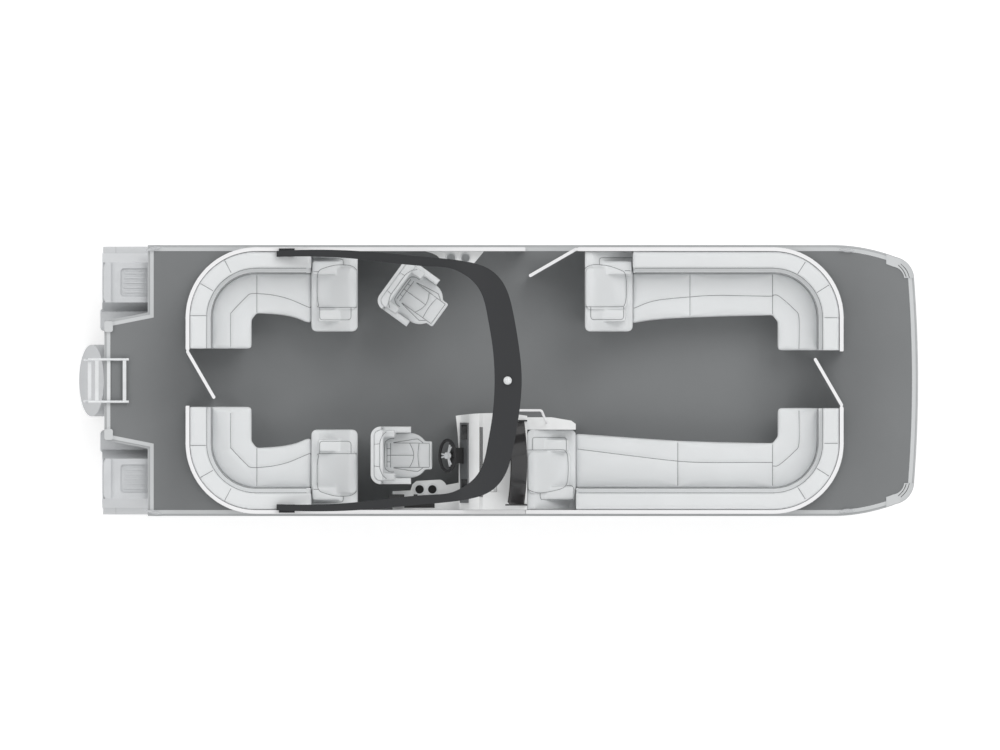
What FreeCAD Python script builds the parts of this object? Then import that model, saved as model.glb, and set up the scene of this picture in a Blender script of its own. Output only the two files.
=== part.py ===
import FreeCAD, Part
import math
import os
from collections import namedtuple

os.makedirs("parts", exist_ok=True)

# A pontoon boat on three tubes, in millimetres. +X points to the bow, +Y to port and +Z up.
# The origin is at the middle of the boat's length and beam, on the floor under the keels.

Vector = FreeCAD.Vector

# Overall sizes and the fit between pieces
LENGTH_OVERALL = 8020.0
BEAM = 2591.0
FIT = 0.3
OVERRUN = 20.0
TAIL_X = -LENGTH_OVERALL / 2
BOW_X = LENGTH_OVERALL / 2
HALF_BEAM = BEAM / 2

# Tubes with their keels and lifting strakes
TUBE_DIAMETER = 686.0
TUBE_INSET = 357.5
TUBE_SPACING = HALF_BEAM - TUBE_INSET
KEEL_HEIGHT = 12.0
KEEL_WIDTH = 70.0
KEEL_ROOT = 30.0
NOSE_LENGTH = 930.0
NOSE_TIP_RADIUS = 60.0
TUBE_SETBACK = 190.0
SIDE_TAIL_SETBACK = 220.0
SIDE_TAIL_RAKE = 20.0
CENTRE_TAIL_RAKE = 236.0
STRAKE_WIDTH = 70.0
STRAKE_DROP = 46.0
STRAKE_ANGLE = 38.0
STRAKE_SETBACK = 300.0
TUBE_RADIUS = TUBE_DIAMETER / 2
TUBE_CENTRE_Z = KEEL_HEIGHT + TUBE_RADIUS
TUBE_TOP_Z = TUBE_CENTRE_Z + TUBE_RADIUS

# Risers, cross members and deck
RISER_HEIGHT = 60.0
RISER_HALF_WIDTH = 150.0
RISER_FLARE = 40.0
RISER_WALL = 6.0
CROSS_HEIGHT = 90.0
CROSS_WIDTH = 50.0
CROSS_WALL = 5.0
CROSS_PITCH = 406.0
DECK_THICKNESS = 22.0
CROSS_Z = TUBE_TOP_Z + RISER_HEIGHT
DECK_UNDER_Z = CROSS_Z + CROSS_HEIGHT
DECK_Z = DECK_UNDER_Z + DECK_THICKNESS

# Deck outline: the notches over the motor pods, the swim deck between them and the round bow
TAIL_OVERHANG = 240.0
DECK_AFT_X = TAIL_X + TAIL_OVERHANG
NOTCH_DEPTH = 415.0
NOTCH_HALF_WIDTH = 650.0
SWIM_HALF_WIDTH = 568.0
BOW_TURN_LENGTH = 860.0
BOW_SHOULDER = (210.0, 115.0)
BOW_CORNER = (38.0, 312.0)
BOW_BEND_SHARE = (0.55, 0.27)
CORNER_BEND_SHARE = (0.30, 0.36)
RUB_WIDTH = 22.0
RUB_DROP = 20.0
RUB_HEIGHT = 50.0
FASCIA_WALL = 12.0
RAIL_FLANGE = 23.0
RAIL_LIP = 6.0
NOTCH_X = DECK_AFT_X + NOTCH_DEPTH

# Motor pods on the tails of the side tubes
POD_TOP_HALF_WIDTH = 191.0
POD_HALF_WIDTH = 278.0
POD_TOP_DROP = 12.0
POD_SHOULDER_DROP = 150.0
POD_AFT_SETBACK = 63.0
POD_WALL = 23.0
POD_OVERLAP = 60.0
TRANSOM_THICKNESS = 54.0
TRANSOM_HALF_WIDTH = 148.0
TRANSOM_HEIGHT = 430.0
TRANSOM_RISE = 38.0
TRANSOM_WING = 16.0
TRANSOM_BOLT_DIAMETER = 13.0
TRANSOM_BOLT_PITCH = 251.0
TRANSOM_BOLT_DROP = 55.0
TRANSOM_BOLT_RISE = 203.0
TRANSOM_BOLT_DEPTH = 130.0
WELL_SETBACK = 107.0
WELL_HALF_WIDTH = 136.0
WELL_DEPTH = 30.0
WELL_RADIUS = 38.0
WELL_RIB_WIDTH = 14.0
WELL_RIB_HEIGHT = 14.0
WELL_RIB_COUNT = 5
STEP_WIDTH = 187.0
STEP_OVERHANG = 38.0
STEP_HEIGHT = 120.0
STEP_RADIUS = 38.0
POD_TOP_Z = CROSS_Z - POD_TOP_DROP - RAIL_LIP

# Fence: square rails on posts with sheet skins outside them
RAIL_SIZE = 34.0
POST_SIZE = 32.0
FENCE_HEIGHT = 760.0
FENCE_RAIL_GAP = 45.0
FENCE_INSET = 41.0
FENCE_CORNER_RADIUS = 655.0
AFT_FENCE_SETBACK = 797.0
BOW_FENCE_SETBACK = 732.0
SIDE_JOINT_X = 256.0
SIDE_JOINT_GAP = 6.0
SIDE_GATE_X = 737.0
AFT_GATE_Y = 274.0
AFT_FENCE_END_Y = 241.0
BOW_GATE_Y = 232.0
BOW_FENCE_END_Y = 279.0
POST_PITCH = 560.0
SKIN_THICKNESS = 3.0
SKIN_MARGIN = 6.0
FENCE_Y = HALF_BEAM - FENCE_INSET
AFT_FENCE_X = DECK_AFT_X + AFT_FENCE_SETBACK
BOW_FENCE_X = BOW_X - BOW_FENCE_SETBACK
FENCE_TOP_Z = DECK_Z + FENCE_HEIGHT

# Gates, their hinges and how far they stand ajar
GATE_THICKNESS = 30.0
GATE_REACH = 515.0
GATE_GAP = 6.0
GATE_FLOOR_GAP = 45.0
GATE_TOP_GAP = 14.0
GATE_SHEET = 4.0
GATE_AJAR_ANGLE = 30.0
HINGE_PLATE = 6.0
HINGE_PIN_DIAMETER = 12.0
HINGE_PIN_LENGTH = 22.0
HINGE_PLATE_RADIUS = 12.0

# Lounges: distances from the fence's centre line and heights above the deck
LOUNGE_GAP = 2.0
LOUNGE_END_GAP = 11.0
LOUNGE_DEPTH = 610.0
PORT_LOUNGE_DEPTH = 630.0
HELM_LOUNGE_DEPTH = 655.0
BACK_DEPTH = 165.0
BACK_STEP = 46.0
BACK_HEIGHT = 740.0
BACK_STEP_HEIGHT = 560.0
SEAT_HEIGHT = 430.0
CUSHION_THICKNESS = 130.0
TOE_KICK = 45.0
SEAT_CORNER = (51.0, 63.0)
SEAT_END_RADIUS = 24.0
AFT_CHAISE_X = -1348.0
PORT_CHAISE_X = 825.0
CHAISE_LENGTH = 442.0
PORT_CHAISE_LENGTH = 456.0
HELM_CHAISE_LENGTH = 464.0
CHAISE_WIDTH = 766.0
CHAISE_RADIUS = 48.0
CHAISE_HEIGHT = 750.0
CHAISE_FOOT_HEIGHT = 480.0
CHAISE_LEAN_SHARES = ((0.30, 0.20), (0.70, 0.66))
CHAISE_RIM = 60.0
CHAISE_TOP = 70.0
PILLOW_LIFT = 34.0
PILLOW_SHARE = (0.12, 0.985)
PILLOW_INNER = 210.0
PILLOW_LENGTH = 400.0
ARMREST_INSET = 95.0
ARMREST_WIDTH = 112.0
ARMREST_LENGTH_SHARE = (0.15, 0.88)
ARMREST_HEIGHT = 640.0
OUTER_REST_INSET = 545.0
OUTER_REST_WIDTH = 128.0
OUTER_REST_SHARE = (0.02, 0.70)
AFT_FRONT_SHARES = ((0.05, 0.0), (0.18, 0.28), (0.41, 0.69), (0.72, 0.92))
PORT_FRONT_SHARES = ((0.18, 0.48), (0.41, 0.72), (0.77, 0.93))
HELM_FRONT_SHARES = ((0.27, 0.41), (0.52, 0.74), (0.84, 0.95))
AFT_FRONT_SWEEP = 90.0
PORT_FRONT_SWEEP = 75.0
HELM_FRONT_SWEEP = 91.0

# Console with its dash, windshield, grab rail and steering wheel
CONSOLE_AFT_X = -381.0
CONSOLE_LENGTH = 654.0
CONSOLE_WIDTH = 898.5
CONSOLE_BULGE = 26.0
CONSOLE_NOSE = 29.0
CONSOLE_HEIGHT = 900.0
CONSOLE_DESK_HEIGHT = 720.0
CONSOLE_DASH_HEIGHT = 860.0
CONSOLE_BROW_HEIGHT = 935.0
CONSOLE_BROW_STEP = 26.0
CONSOLE_DESK_SHARE = 0.03
CONSOLE_DASH_SHARE = 0.15
CONSOLE_BROW_SHARE = 0.30
CONSOLE_STEP_SHARE = 0.35
CONSOLE_TOE_HEIGHT = 110.0
CONSOLE_TOE_DEPTH = 55.0
CONSOLE_TRAY_SIZE = (60.0, 563.0, 30.0)
CONSOLE_TRAY_SHARE = 0.51
CONSOLE_TRAY_INSET = 165.0
DASH_THICKNESS = 14.0
DASH_INSET = 66.0
DASH_MARGIN_SHARE = 0.04
SCREEN_SHARE = (0.30, 0.92)
SCREEN_THICKNESS = 8.0
SCREEN_LENGTH = 140.0
SCREEN_INSET = 20.0
PANEL_HEIGHT = 690.0
PANEL_OVERHANG = 14.0
PANEL_CORNER = (43.0, 64.0)
SHIELD_SHIFT = 0.0
SHIELD_BOW = 28.0
SHIELD_HALF_LENGTH = 395.0
SHIELD_RAKE = 150.0
SHIELD_HEIGHT = 290.0
SHIELD_THICKNESS = 9.0
SHIELD_CORNER_SHARE = 0.90
SHIELD_BRACKET_LENGTH = 150.0
SHIELD_BRACKET_WALL = 14.0
GRAB_DIAMETER = 24.0
GRAB_START_SHARE = 0.62
GRAB_STANDOFF = 48.0
GRAB_SIDE_GAP = 26.0
GRAB_FOOT_REACH = 184.0
GRAB_BEND = 26.0
WHEEL_DIAMETER = 325.0
WHEEL_RIM = 30.0
WHEEL_TILT = 30.0
WHEEL_HUB_X = -488.0
WHEEL_SHIFT = 68.25
WHEEL_HEIGHT = 820.0
WHEEL_HUB_DIAMETER = 62.0
WHEEL_HUB_LENGTH = 40.0
WHEEL_SPOKE_WIDTH = 13.0
WHEEL_SPOKE_THICKNESS = 9.0
WHEEL_SPOKE_SPREAD = 17.0
COLUMN_DIAMETER = 44.0
COLUMN_NECK = 38.0
COLUMN_BLOCK_SIZE = (170.0, 150.0, 110.0)

# Side console with its throttle, and the table on the other side
SIDE_CONSOLE_LENGTH = 633.0
SIDE_CONSOLE_HEIGHT = 455.0
SIDE_CONSOLE_DEPTH = 178.0
SIDE_RIDGE_DEPTH = 120.0
SIDE_RIDGE_HEIGHT = 600.0
SIDE_EDGE_SHARES = (
    (0.0, 1.46), (0.19, 1.33), (0.24, 1.55), (0.28, 1.62),
    (0.64, 1.55), (0.70, 1.36), (0.73, 1.04), (1.0, 1.0))
CUP_DIAMETER = 81.0
CUP_RIM_DIAMETER = 115.0
CUP_RIM_HEIGHT = 6.0
CUP_DEPTH = 75.0
CUP_PITCH = 122.0
SIDE_CUP_X = -695.0
SIDE_CUP_INSET = 195.5
THROTTLE_X = -977.0
THROTTLE_LENGTH = 150.0
THROTTLE_WIDTH = 112.0
THROTTLE_HEIGHT = 95.0
THROTTLE_OVERHANG = 28.0
THROTTLE_LEVER_LENGTH = 175.0
THROTTLE_LEVER_SIZE = (22.0, 14.0)
THROTTLE_GRIP_DIAMETER = 38.0
THROTTLE_PLATE_LENGTH = 290.0
TABLE_AFT_X = -700.0
TABLE_LENGTH = 560.0
TABLE_DEPTH = 142.0
TABLE_LIP = 180.0
TABLE_HEIGHT = 620.0
TABLE_EDGE_SHARES = (
    (0.116, 0.14), (0.216, 0.36), (0.286, 0.70), (0.343, 0.92), (0.40, 1.0), (0.739, 1.0), (0.809, 0.92))
TABLE_TOE = 40.0
TABLE_CUP_X = -386.0
TABLE_CUP_PITCH = 138.0
TABLE_CUP_INSET = 63.5
TABLE_CUP_RIM = 105.0

# Captain's chairs on their pedestals
HELM_CHAIR_X = -947.0
HELM_CHAIR_INSET = 580.5
PORT_CHAIR_X = -809.0
PORT_CHAIR_INSET = 492.5
PORT_CHAIR_TURN = -36.0
CHAIR_BACK = 276.0
CHAIR_FRONT = 311.0
CHAIR_HALF_WIDTH = 275.0
CHAIR_FRONT_HALF_WIDTH = 134.0
CHAIR_FLOOR_HEIGHT = 475.0
CHAIR_PAN = 45.0
CHAIR_CUSHION = 95.0
CHAIR_ARM_HEIGHT = 800.0
CHAIR_ARM_WIDTH = 62.0
CHAIR_ARM_PAD = 30.0
CHAIR_ARM_START = 170.0
CHAIR_ARM_FRONT = 110.0
CHAIR_TOP_HEIGHT = 1120.0
CHAIR_BACK_WALL = 30.0
CHAIR_BACK_PAD = 88.0
CHAIR_BACK_RADIUS = 95.0
CHAIR_SEAM = 6.0
PEDESTAL_BASE_DIAMETER = 300.0
PEDESTAL_BASE_HEIGHT = 14.0
PEDESTAL_DIAMETER = 90.0
PEDESTAL_TOP_SIZE = (200.0, 200.0, 16.0)
PEDESTAL_GAP = 0.3

# Arch over the cockpit
ARCH_FOOT_X = -2100.0
ARCH_LENGTH = 2321.0
ARCH_SIDE_INSET = 56.5
ARCH_OUTER_Y = HALF_BEAM - ARCH_SIDE_INSET
ARCH_HEIGHT = 2050.0
ARCH_FOOT_LENGTH = 150.0
ARCH_FOOT_WIDTH = 78.0
ARCH_FOOT_PLATE = 10.0
ARCH_OUTER_SHARES = (
    (-0.01, 1.0), (0.334, 0.999), (0.622, 0.951), (0.791, 0.911), (0.860, 0.867), (0.901, 0.808),
    (0.928, 0.739), (0.948, 0.651), (0.965, 0.522), (0.985, 0.306), (1.0, 0.0))
ARCH_INNER_SHARES = (
    (-0.01, 0.954), (0.334, 0.936), (0.622, 0.881), (0.712, 0.862), (0.754, 0.827), (0.791, 0.779),
    (0.823, 0.709), (0.844, 0.621), (0.860, 0.483), (0.875, 0.325), (0.888, 0.0))
ARCH_UPPER_SHARES = ((-0.034, 0.0), (0.334, 0.459), (0.622, 0.81), (0.754, 0.94), (0.86, 0.985), (1.0, 1.0))
ARCH_LOWER_SHARES = (
    (0.034, 0.0), (0.334, 0.344), (0.622, 0.677), (0.754, 0.81), (0.86, 0.905), (0.92, 0.947), (1.0, 0.958))
ARCH_LIGHT_X = 86.0
ARCH_LIGHT_DIAMETER = 78.0
ARCH_LIGHT_HEIGHT = 55.0

# Boarding ladder: an upper section on the deck and a lower one folded on top of it
LADDER_TUBE = 25.0
LADDER_HALF_WIDTH = 202.0
LADDER_HINGE_REACH = 185.0
LADDER_HINGE_X = DECK_AFT_X - LADDER_HINGE_REACH
LADDER_LENGTH = 420.0
LADDER_FIXED_LENGTH = 275.0
LADDER_GAP = 6.0
LADDER_TREAD_WIDTH = 34.0
LADDER_TREAD_THICKNESS = 12.0
LADDER_PIN_DIAMETER = 10.0
LADDER_EYE_DIAMETER = 30.0
LADDER_EYE_THICKNESS = 8.0
LADDER_SETBACK = 32.0
LADDER_FIXED_TREAD_SHARES = (0.105, 0.54)
LADDER_FOLD_TREAD_SHARES = (0.27, 0.90)

# Cleats and corner caps
CLEAT_LENGTH = 150.0
CLEAT_WIDTH = 22.0
CLEAT_HEIGHT = 42.0
CLEAT_HORN = 16.0
CLEAT_FOOT = 26.0
CLEAT_INSET = 36.0
CLEAT_STERN_SETBACK = 58.0
CLEAT_STERN_ANGLE = 12.0
CLEAT_BOW_SETBACK = 680.0
CLEAT_BOW_INSET = 48.0
CLEAT_BOW_ANGLE = 5.0
CAP_THICKNESS = 9.0
CAP_REACH = (305.0, 315.0)
CAP_RIB_SHARE = 0.55
CAP_RIB_SHARES = (0.12, 0.40, 0.68)
POST_CAP_INSET = 0.0
CAP_RIB = 5.0
CAP_WIDTH = 90.0
POST_CAP_SIZE = (82.0, 104.0, 30.0)


# Ways of drawing and solids that the whole boat uses

def point(x, y, z=0.0):
    return Vector(x, y, z)


def wire(start, *moves):
    """Close an outline from its start. One point is a straight edge, two an arc, more a curve."""
    edges = []
    here = start
    for move in moves + ((start,),):
        end = move[-1]
        if here.distanceToPoint(end) < FIT / 10:
            continue
        if len(move) == 1:
            edges.append(Part.makeLine(here, end))
        elif len(move) == 2:
            edges.append(Part.Arc(here, move[0], end).toShape())
        else:
            curve = Part.BSplineCurve()
            curve.interpolate([here] + list(move))
            edges.append(curve.toShape())
        here = end
    return Part.Wire(edges)


def corner_moves(before, corner, after, radius):
    """Return the moves that reach a corner in a straight line and round it with an arc."""
    to_before = (before - corner).normalize()
    to_after = (after - corner).normalize()
    half_turn = to_before.getAngle(to_after) / 2
    start = corner + to_before * (radius / math.tan(half_turn))
    end = corner + to_after * (radius / math.tan(half_turn))
    inward = (to_before + to_after).normalize()
    middle = corner + inward * (radius / math.sin(half_turn) - radius)
    return (start,), (middle, end)


def rounded(corners):
    """Close an outline of (point, radius) corners, with a zero radius where it stays sharp."""
    moves = []
    count = len(corners)
    for index, (corner, radius) in enumerate(corners):
        before = corners[index - 1][0]
        after = corners[(index + 1) % count][0]
        if radius > 0:
            moves.extend(corner_moves(before, corner, after, radius))
        else:
            moves.append((corner,))
    start = moves[-1][-1]
    return wire(start, *moves)


def prism(outline, bottom, top):
    """Extrude a closed outline drawn at height zero, from one height to another."""
    face = Part.Face(outline)
    face.translate(point(0, 0, bottom))
    return face.extrude(point(0, 0, top - bottom))


def box(low, high):
    size = high - low
    return Part.makeBox(size.x, size.y, size.z, low)


def cylinder(radius, start, end):
    return Part.makeCylinder(radius, (end - start).Length, start, end - start)


def fused(*solids):
    return solids[0].multiFuse(list(solids[1:])).removeSplitter()


def mirrored(shape):
    """Return the copy on the other side of the centre line."""
    return shape.mirror(point(0, 0), point(0, 1))


def both_sides(shape):
    return [shape, mirrored(shape)]


def turned(shape, centre, axis, angle):
    copy = shape.copy()
    copy.rotate(centre, axis, angle)
    return copy


def save(name, *solids):
    shape = solids[0] if len(solids) == 1 else Part.makeCompound(list(solids))
    shape.exportStep(f"parts/{name}.step")


# Tubes

def tube_section(x, radius, top):
    """Draw one round section of a tube, with its highest point at the given height."""
    return Part.Wire(Part.makeCircle(radius, point(x, 0, top - radius), point(1, 0)))


def tube(tail_x, rake):
    """Model one tube with its upswept nose, raked tail plate, keel and two lifting strakes."""
    nose_x = BOW_X - TUBE_SETBACK - NOSE_LENGTH
    barrel = Part.makeCylinder(TUBE_RADIUS, nose_x - tail_x, point(tail_x, 0, TUBE_CENTRE_Z), point(1, 0))
    sections = []
    taper = TUBE_RADIUS - NOSE_TIP_RADIUS
    for share in (0.0, 0.12, 0.3, 0.5, 0.7, 0.87, 1.0):
        radius = TUBE_RADIUS - taper * share ** 2.2
        drop = NOSE_TIP_RADIUS * share ** 2
        sections.append(tube_section(nose_x + NOSE_LENGTH * share, radius, TUBE_TOP_Z - drop))
    nose = Part.makeLoft(sections, True, True)
    keel = box(point(tail_x + rake, -KEEL_WIDTH / 2, 0), point(nose_x, KEEL_WIDTH / 2, KEEL_ROOT))
    pieces = [barrel, nose, keel]
    for side in (1, -1):
        pieces.append(strake(tail_x + STRAKE_SETBACK, nose_x, side))
    body = fused(*pieces)
    tail = rounded([
        (point(tail_x - OVERRUN, 0), 0),
        (point(tail_x, 0), 0),
        (point(tail_x, KEEL_HEIGHT), 0),
        (point(tail_x + rake, TUBE_TOP_Z), 0),
        (point(tail_x + rake, TUBE_TOP_Z + OVERRUN), 0),
        (point(tail_x - OVERRUN, TUBE_TOP_Z + OVERRUN), 0),
    ])
    cutter = Part.Face(tail).extrude(point(0, 0, TUBE_DIAMETER))
    cutter.rotate(point(0, 0), point(1, 0), 90)
    cutter.translate(point(0, TUBE_RADIUS, 0))
    return body.cut(cutter)


def strake(start_x, end_x, side):
    """Model a lifting strake: a long three-sided rail low on the tube's side."""
    angle = math.radians(STRAKE_ANGLE)
    root = point(0, TUBE_RADIUS * math.cos(angle), TUBE_CENTRE_Z - TUBE_RADIUS * math.sin(angle))
    inner = root - point(0, STRAKE_DROP / 2, -STRAKE_DROP)
    lower = root - point(0, STRAKE_WIDTH, STRAKE_DROP)
    tip = root + point(0, STRAKE_WIDTH - STRAKE_DROP, -STRAKE_DROP)
    outline = Part.makePolygon([inner, lower, tip, inner])
    rail = Part.Face(outline).extrude(point(end_x - start_x, 0))
    rail.translate(point(start_x, 0))
    return rail if side > 0 else mirrored(rail)


def moved_to(shape, y):
    copy = shape.copy()
    copy.translate(point(0, y))
    return copy


def make_tubes():
    side = tube(TAIL_X + SIDE_TAIL_SETBACK, SIDE_TAIL_RAKE).cut(transom_bay(0, FIT))
    save("tube_port", moved_to(side, TUBE_SPACING))
    save("tube_centre", tube(TAIL_X, CENTRE_TAIL_RAKE))
    save("tube_starboard", moved_to(side, -TUBE_SPACING))


# Motor pods

def barrel_cutter(y, start_x, end_x):
    """The side tube's round form, which whatever seats on the tube is cut to."""
    return Part.makeCylinder(TUBE_RADIUS, end_x - start_x, point(start_x, y, TUBE_CENTRE_Z), point(1, 0))


def pod_body(aft_x, fore_x):
    """Model the pod's hull: a flat top with sides that slope down to the tube."""
    shoulder_z = POD_TOP_Z - POD_SHOULDER_DROP
    section = Part.makePolygon([
        point(aft_x, -POD_HALF_WIDTH, shoulder_z - POD_SHOULDER_DROP),
        point(aft_x, -POD_HALF_WIDTH, shoulder_z),
        point(aft_x, -POD_TOP_HALF_WIDTH, POD_TOP_Z),
        point(aft_x, POD_TOP_HALF_WIDTH, POD_TOP_Z),
        point(aft_x, POD_HALF_WIDTH, shoulder_z),
        point(aft_x, POD_HALF_WIDTH, shoulder_z - POD_SHOULDER_DROP),
        point(aft_x, -POD_HALF_WIDTH, shoulder_z - POD_SHOULDER_DROP),
    ])
    return Part.Face(section).extrude(point(fore_x - aft_x, 0))


def transom(front_x):
    """Model the motor's mounting plate with its bevelled wings."""
    aft_x = front_x - TRANSOM_THICKNESS
    wing_y = POD_TOP_HALF_WIDTH
    fore_x = front_x + TRANSOM_WING
    outline = wire(
        point(aft_x, -TRANSOM_HALF_WIDTH), (point(aft_x, TRANSOM_HALF_WIDTH),),
        (point(aft_x + TRANSOM_WING, wing_y),), (point(fore_x, wing_y),), (point(fore_x, -wing_y),),
        (point(aft_x + TRANSOM_WING, -wing_y),))
    top = POD_TOP_Z + TRANSOM_RISE
    return prism(outline, top - TRANSOM_HEIGHT, top)


def splash_well(aft_x, fore_x):
    """The sunken well in the pod's top, left with raised ribs on its floor."""
    outline = rounded([
        (point(aft_x, -WELL_HALF_WIDTH), WELL_RADIUS), (point(aft_x, WELL_HALF_WIDTH), WELL_RADIUS),
        (point(fore_x, WELL_HALF_WIDTH), 0), (point(fore_x, -WELL_HALF_WIDTH), 0)])
    floor_z = POD_TOP_Z - WELL_DEPTH
    well = prism(outline, floor_z, POD_TOP_Z + TRANSOM_RISE)
    pitch = 2 * WELL_HALF_WIDTH / (WELL_RIB_COUNT + 1)
    ribs = []
    for index in range(WELL_RIB_COUNT):
        y = -WELL_HALF_WIDTH + pitch * (index + 1)
        low = point(aft_x + WELL_RADIUS, y - WELL_RIB_WIDTH / 2, floor_z)
        ribs.append(box(low, point(fore_x, y + WELL_RIB_WIDTH / 2, floor_z + WELL_RIB_HEIGHT)))
    return well.cut(Part.makeCompound(ribs))


def transom_bay(y, gap):
    """The space that the transom stands in, cut out of the pod and out of the tube's tail."""
    front_x = DECK_AFT_X + POD_AFT_SETBACK
    top = POD_TOP_Z + TRANSOM_RISE
    half = POD_TOP_HALF_WIDTH + gap
    return box(
        point(TAIL_X, y - half, top - TRANSOM_HEIGHT - gap), point(front_x + gap, y + half, top + OVERRUN))


def transom_bolt_holes(front_x):
    holes = []
    start_x = front_x - TRANSOM_THICKNESS - OVERRUN
    for row in (0, 1):
        z = POD_TOP_Z + TRANSOM_RISE - TRANSOM_BOLT_DROP - row * TRANSOM_BOLT_RISE
        for side in (-1, 1):
            start = point(start_x, side * TRANSOM_BOLT_PITCH / 2, z)
            end = start + point(OVERRUN + TRANSOM_BOLT_DEPTH, 0)
            holes.append(cylinder(TRANSOM_BOLT_DIAMETER / 2, start, end))
    return Part.makeCompound(holes)


def motor_pod():
    """Model the port pod with its transom, splash well and the step beside it."""
    front_x = DECK_AFT_X + POD_AFT_SETBACK - TRANSOM_WING
    fore_x = NOTCH_X + POD_OVERLAP
    body = pod_body(TAIL_X + SIDE_TAIL_SETBACK, fore_x).cut(transom_bay(0, 0))
    body = body.cut(splash_well(front_x + WELL_SETBACK, fore_x + OVERRUN))
    body = moved_to(body, TUBE_SPACING)
    step_y = TUBE_SPACING - POD_HALF_WIDTH
    step = prism(rounded([
        (point(DECK_AFT_X - STEP_OVERHANG, step_y - STEP_WIDTH), STEP_RADIUS),
        (point(DECK_AFT_X - STEP_OVERHANG, step_y + POD_WALL), STEP_RADIUS / 2),
        (point(fore_x, step_y + POD_WALL), 0),
        (point(fore_x, step_y - STEP_WIDTH), 0),
    ]), POD_TOP_Z - POD_SHOULDER_DROP - STEP_HEIGHT, POD_TOP_Z - POD_SHOULDER_DROP)
    body = body.fuse(step)
    body = body.cut(barrel_cutter(TUBE_SPACING, TAIL_X, BOW_X))
    plate = transom(front_x).cut(transom_bolt_holes(front_x))
    return body.fuse(moved_to(plate, TUBE_SPACING)).removeSplitter()


def make_motor_pods():
    pod = motor_pod()
    save("motor_pod_port", pod)
    save("motor_pod_starboard", mirrored(pod))


# Risers and cross members

def riser(y):
    """Model the long bracket that carries the cross members on one tube."""
    start_x = NOTCH_X + POD_OVERLAP + FIT
    end_x = BOW_X - TUBE_SETBACK - NOSE_LENGTH
    half = RISER_HALF_WIDTH
    foot_z = TUBE_CENTRE_Z + math.sqrt(TUBE_RADIUS ** 2 - (half + RISER_FLARE) ** 2)
    outer = [
        point(start_x, -half - RISER_FLARE, foot_z - OVERRUN), point(start_x, -half, CROSS_Z),
        point(start_x, half, CROSS_Z), point(start_x, half + RISER_FLARE, foot_z - OVERRUN)]
    inner = [
        point(start_x, half + RISER_FLARE - RISER_WALL, foot_z - OVERRUN),
        point(start_x, half - RISER_WALL, CROSS_Z - RISER_WALL),
        point(start_x, RISER_WALL - half, CROSS_Z - RISER_WALL),
        point(start_x, RISER_WALL - half - RISER_FLARE, foot_z - OVERRUN)]
    outline = Part.makePolygon(outer + inner + outer[:1])
    bracket = Part.Face(outline).extrude(point(end_x - start_x, 0))
    return moved_to(bracket, y).cut(barrel_cutter(y, TAIL_X, BOW_X))


def make_risers():
    save("tube_risers", *[riser(y) for y in (TUBE_SPACING, 0.0, -TUBE_SPACING)])


def deck_half_width(x):
    """Return half the deck's width at a place along the boat, inside the edge rail."""
    if x < NOTCH_X + RUB_WIDTH + FASCIA_WALL + CROSS_WIDTH:
        return SWIM_HALF_WIDTH - RUB_WIDTH - FASCIA_WALL - CROSS_WIDTH / 2
    line = Part.makeLine(point(x, 0), point(x, BEAM))
    cut = Part.Face(deck_outline(RUB_WIDTH + FASCIA_WALL + FIT)).common(line)
    return cut.BoundBox.YMax


def cross_member(x):
    """Model one channel across the boat, as long as the deck is wide where it lies."""
    half = min(deck_half_width(x), deck_half_width(x + CROSS_WIDTH)) - FIT
    low = point(x, -half, CROSS_Z)
    solid = box(low, point(x + CROSS_WIDTH, half, DECK_UNDER_Z))
    hollow = box(
        point(x + CROSS_WALL, -half - OVERRUN, CROSS_Z + CROSS_WALL),
        point(x + CROSS_WIDTH + OVERRUN, half + OVERRUN, DECK_UNDER_Z - CROSS_WALL))
    return solid.cut(hollow)


def make_cross_members():
    first_x = DECK_AFT_X + RUB_WIDTH + FASCIA_WALL + CROSS_WIDTH
    last_x = BOW_X - BOW_CORNER[0] - RUB_WIDTH - FASCIA_WALL - 2 * CROSS_WIDTH
    count = int((last_x - first_x) / CROSS_PITCH)
    pitch = (last_x - first_x) / count
    save("cross_members", *[cross_member(first_x + pitch * index) for index in range(count + 1)])


# Deck and its edge rail

def deck_outline(inset):
    """Draw the outline of the boat's edge, or of what lies inside it by the inset."""
    shoulder = point(BOW_X - BOW_SHOULDER[0], HALF_BEAM - BOW_SHOULDER[1])
    corner = point(BOW_X - BOW_CORNER[0], HALF_BEAM - BOW_CORNER[1])
    turn = point(BOW_X - BOW_TURN_LENGTH, HALF_BEAM)
    bend = turn + point(
        (shoulder.x - turn.x) * BOW_BEND_SHARE[0], (shoulder.y - turn.y) * BOW_BEND_SHARE[1])
    round_corner = point(
        corner.x + (shoulder.x - corner.x) * CORNER_BEND_SHARE[0],
        shoulder.y + (corner.y - shoulder.y) * CORNER_BEND_SHARE[1])
    port = [
        (point(DECK_AFT_X, SWIM_HALF_WIDTH),),
        (point(NOTCH_X, NOTCH_HALF_WIDTH),),
        (point(NOTCH_X, HALF_BEAM),),
        (turn,),
        (bend, shoulder),
        (round_corner, corner),
    ]
    flip = [tuple(point(p.x, -p.y) for p in move) for move in port]
    outline = wire(
        point(DECK_AFT_X, -SWIM_HALF_WIDTH), *port, (point(BOW_X, 0), flip[5][1]),
        (flip[5][0], flip[4][1]), (flip[4][0], flip[3][0]), flip[2], flip[1])
    if inset == 0:
        return outline
    return outline.makeOffset2D(-inset, 2)


def ring(outer_inset, inner_inset, bottom, top):
    outer = prism(deck_outline(outer_inset), bottom, top)
    inner = prism(deck_outline(inner_inset), bottom - OVERRUN, top + OVERRUN)
    return outer.cut(inner)


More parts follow.
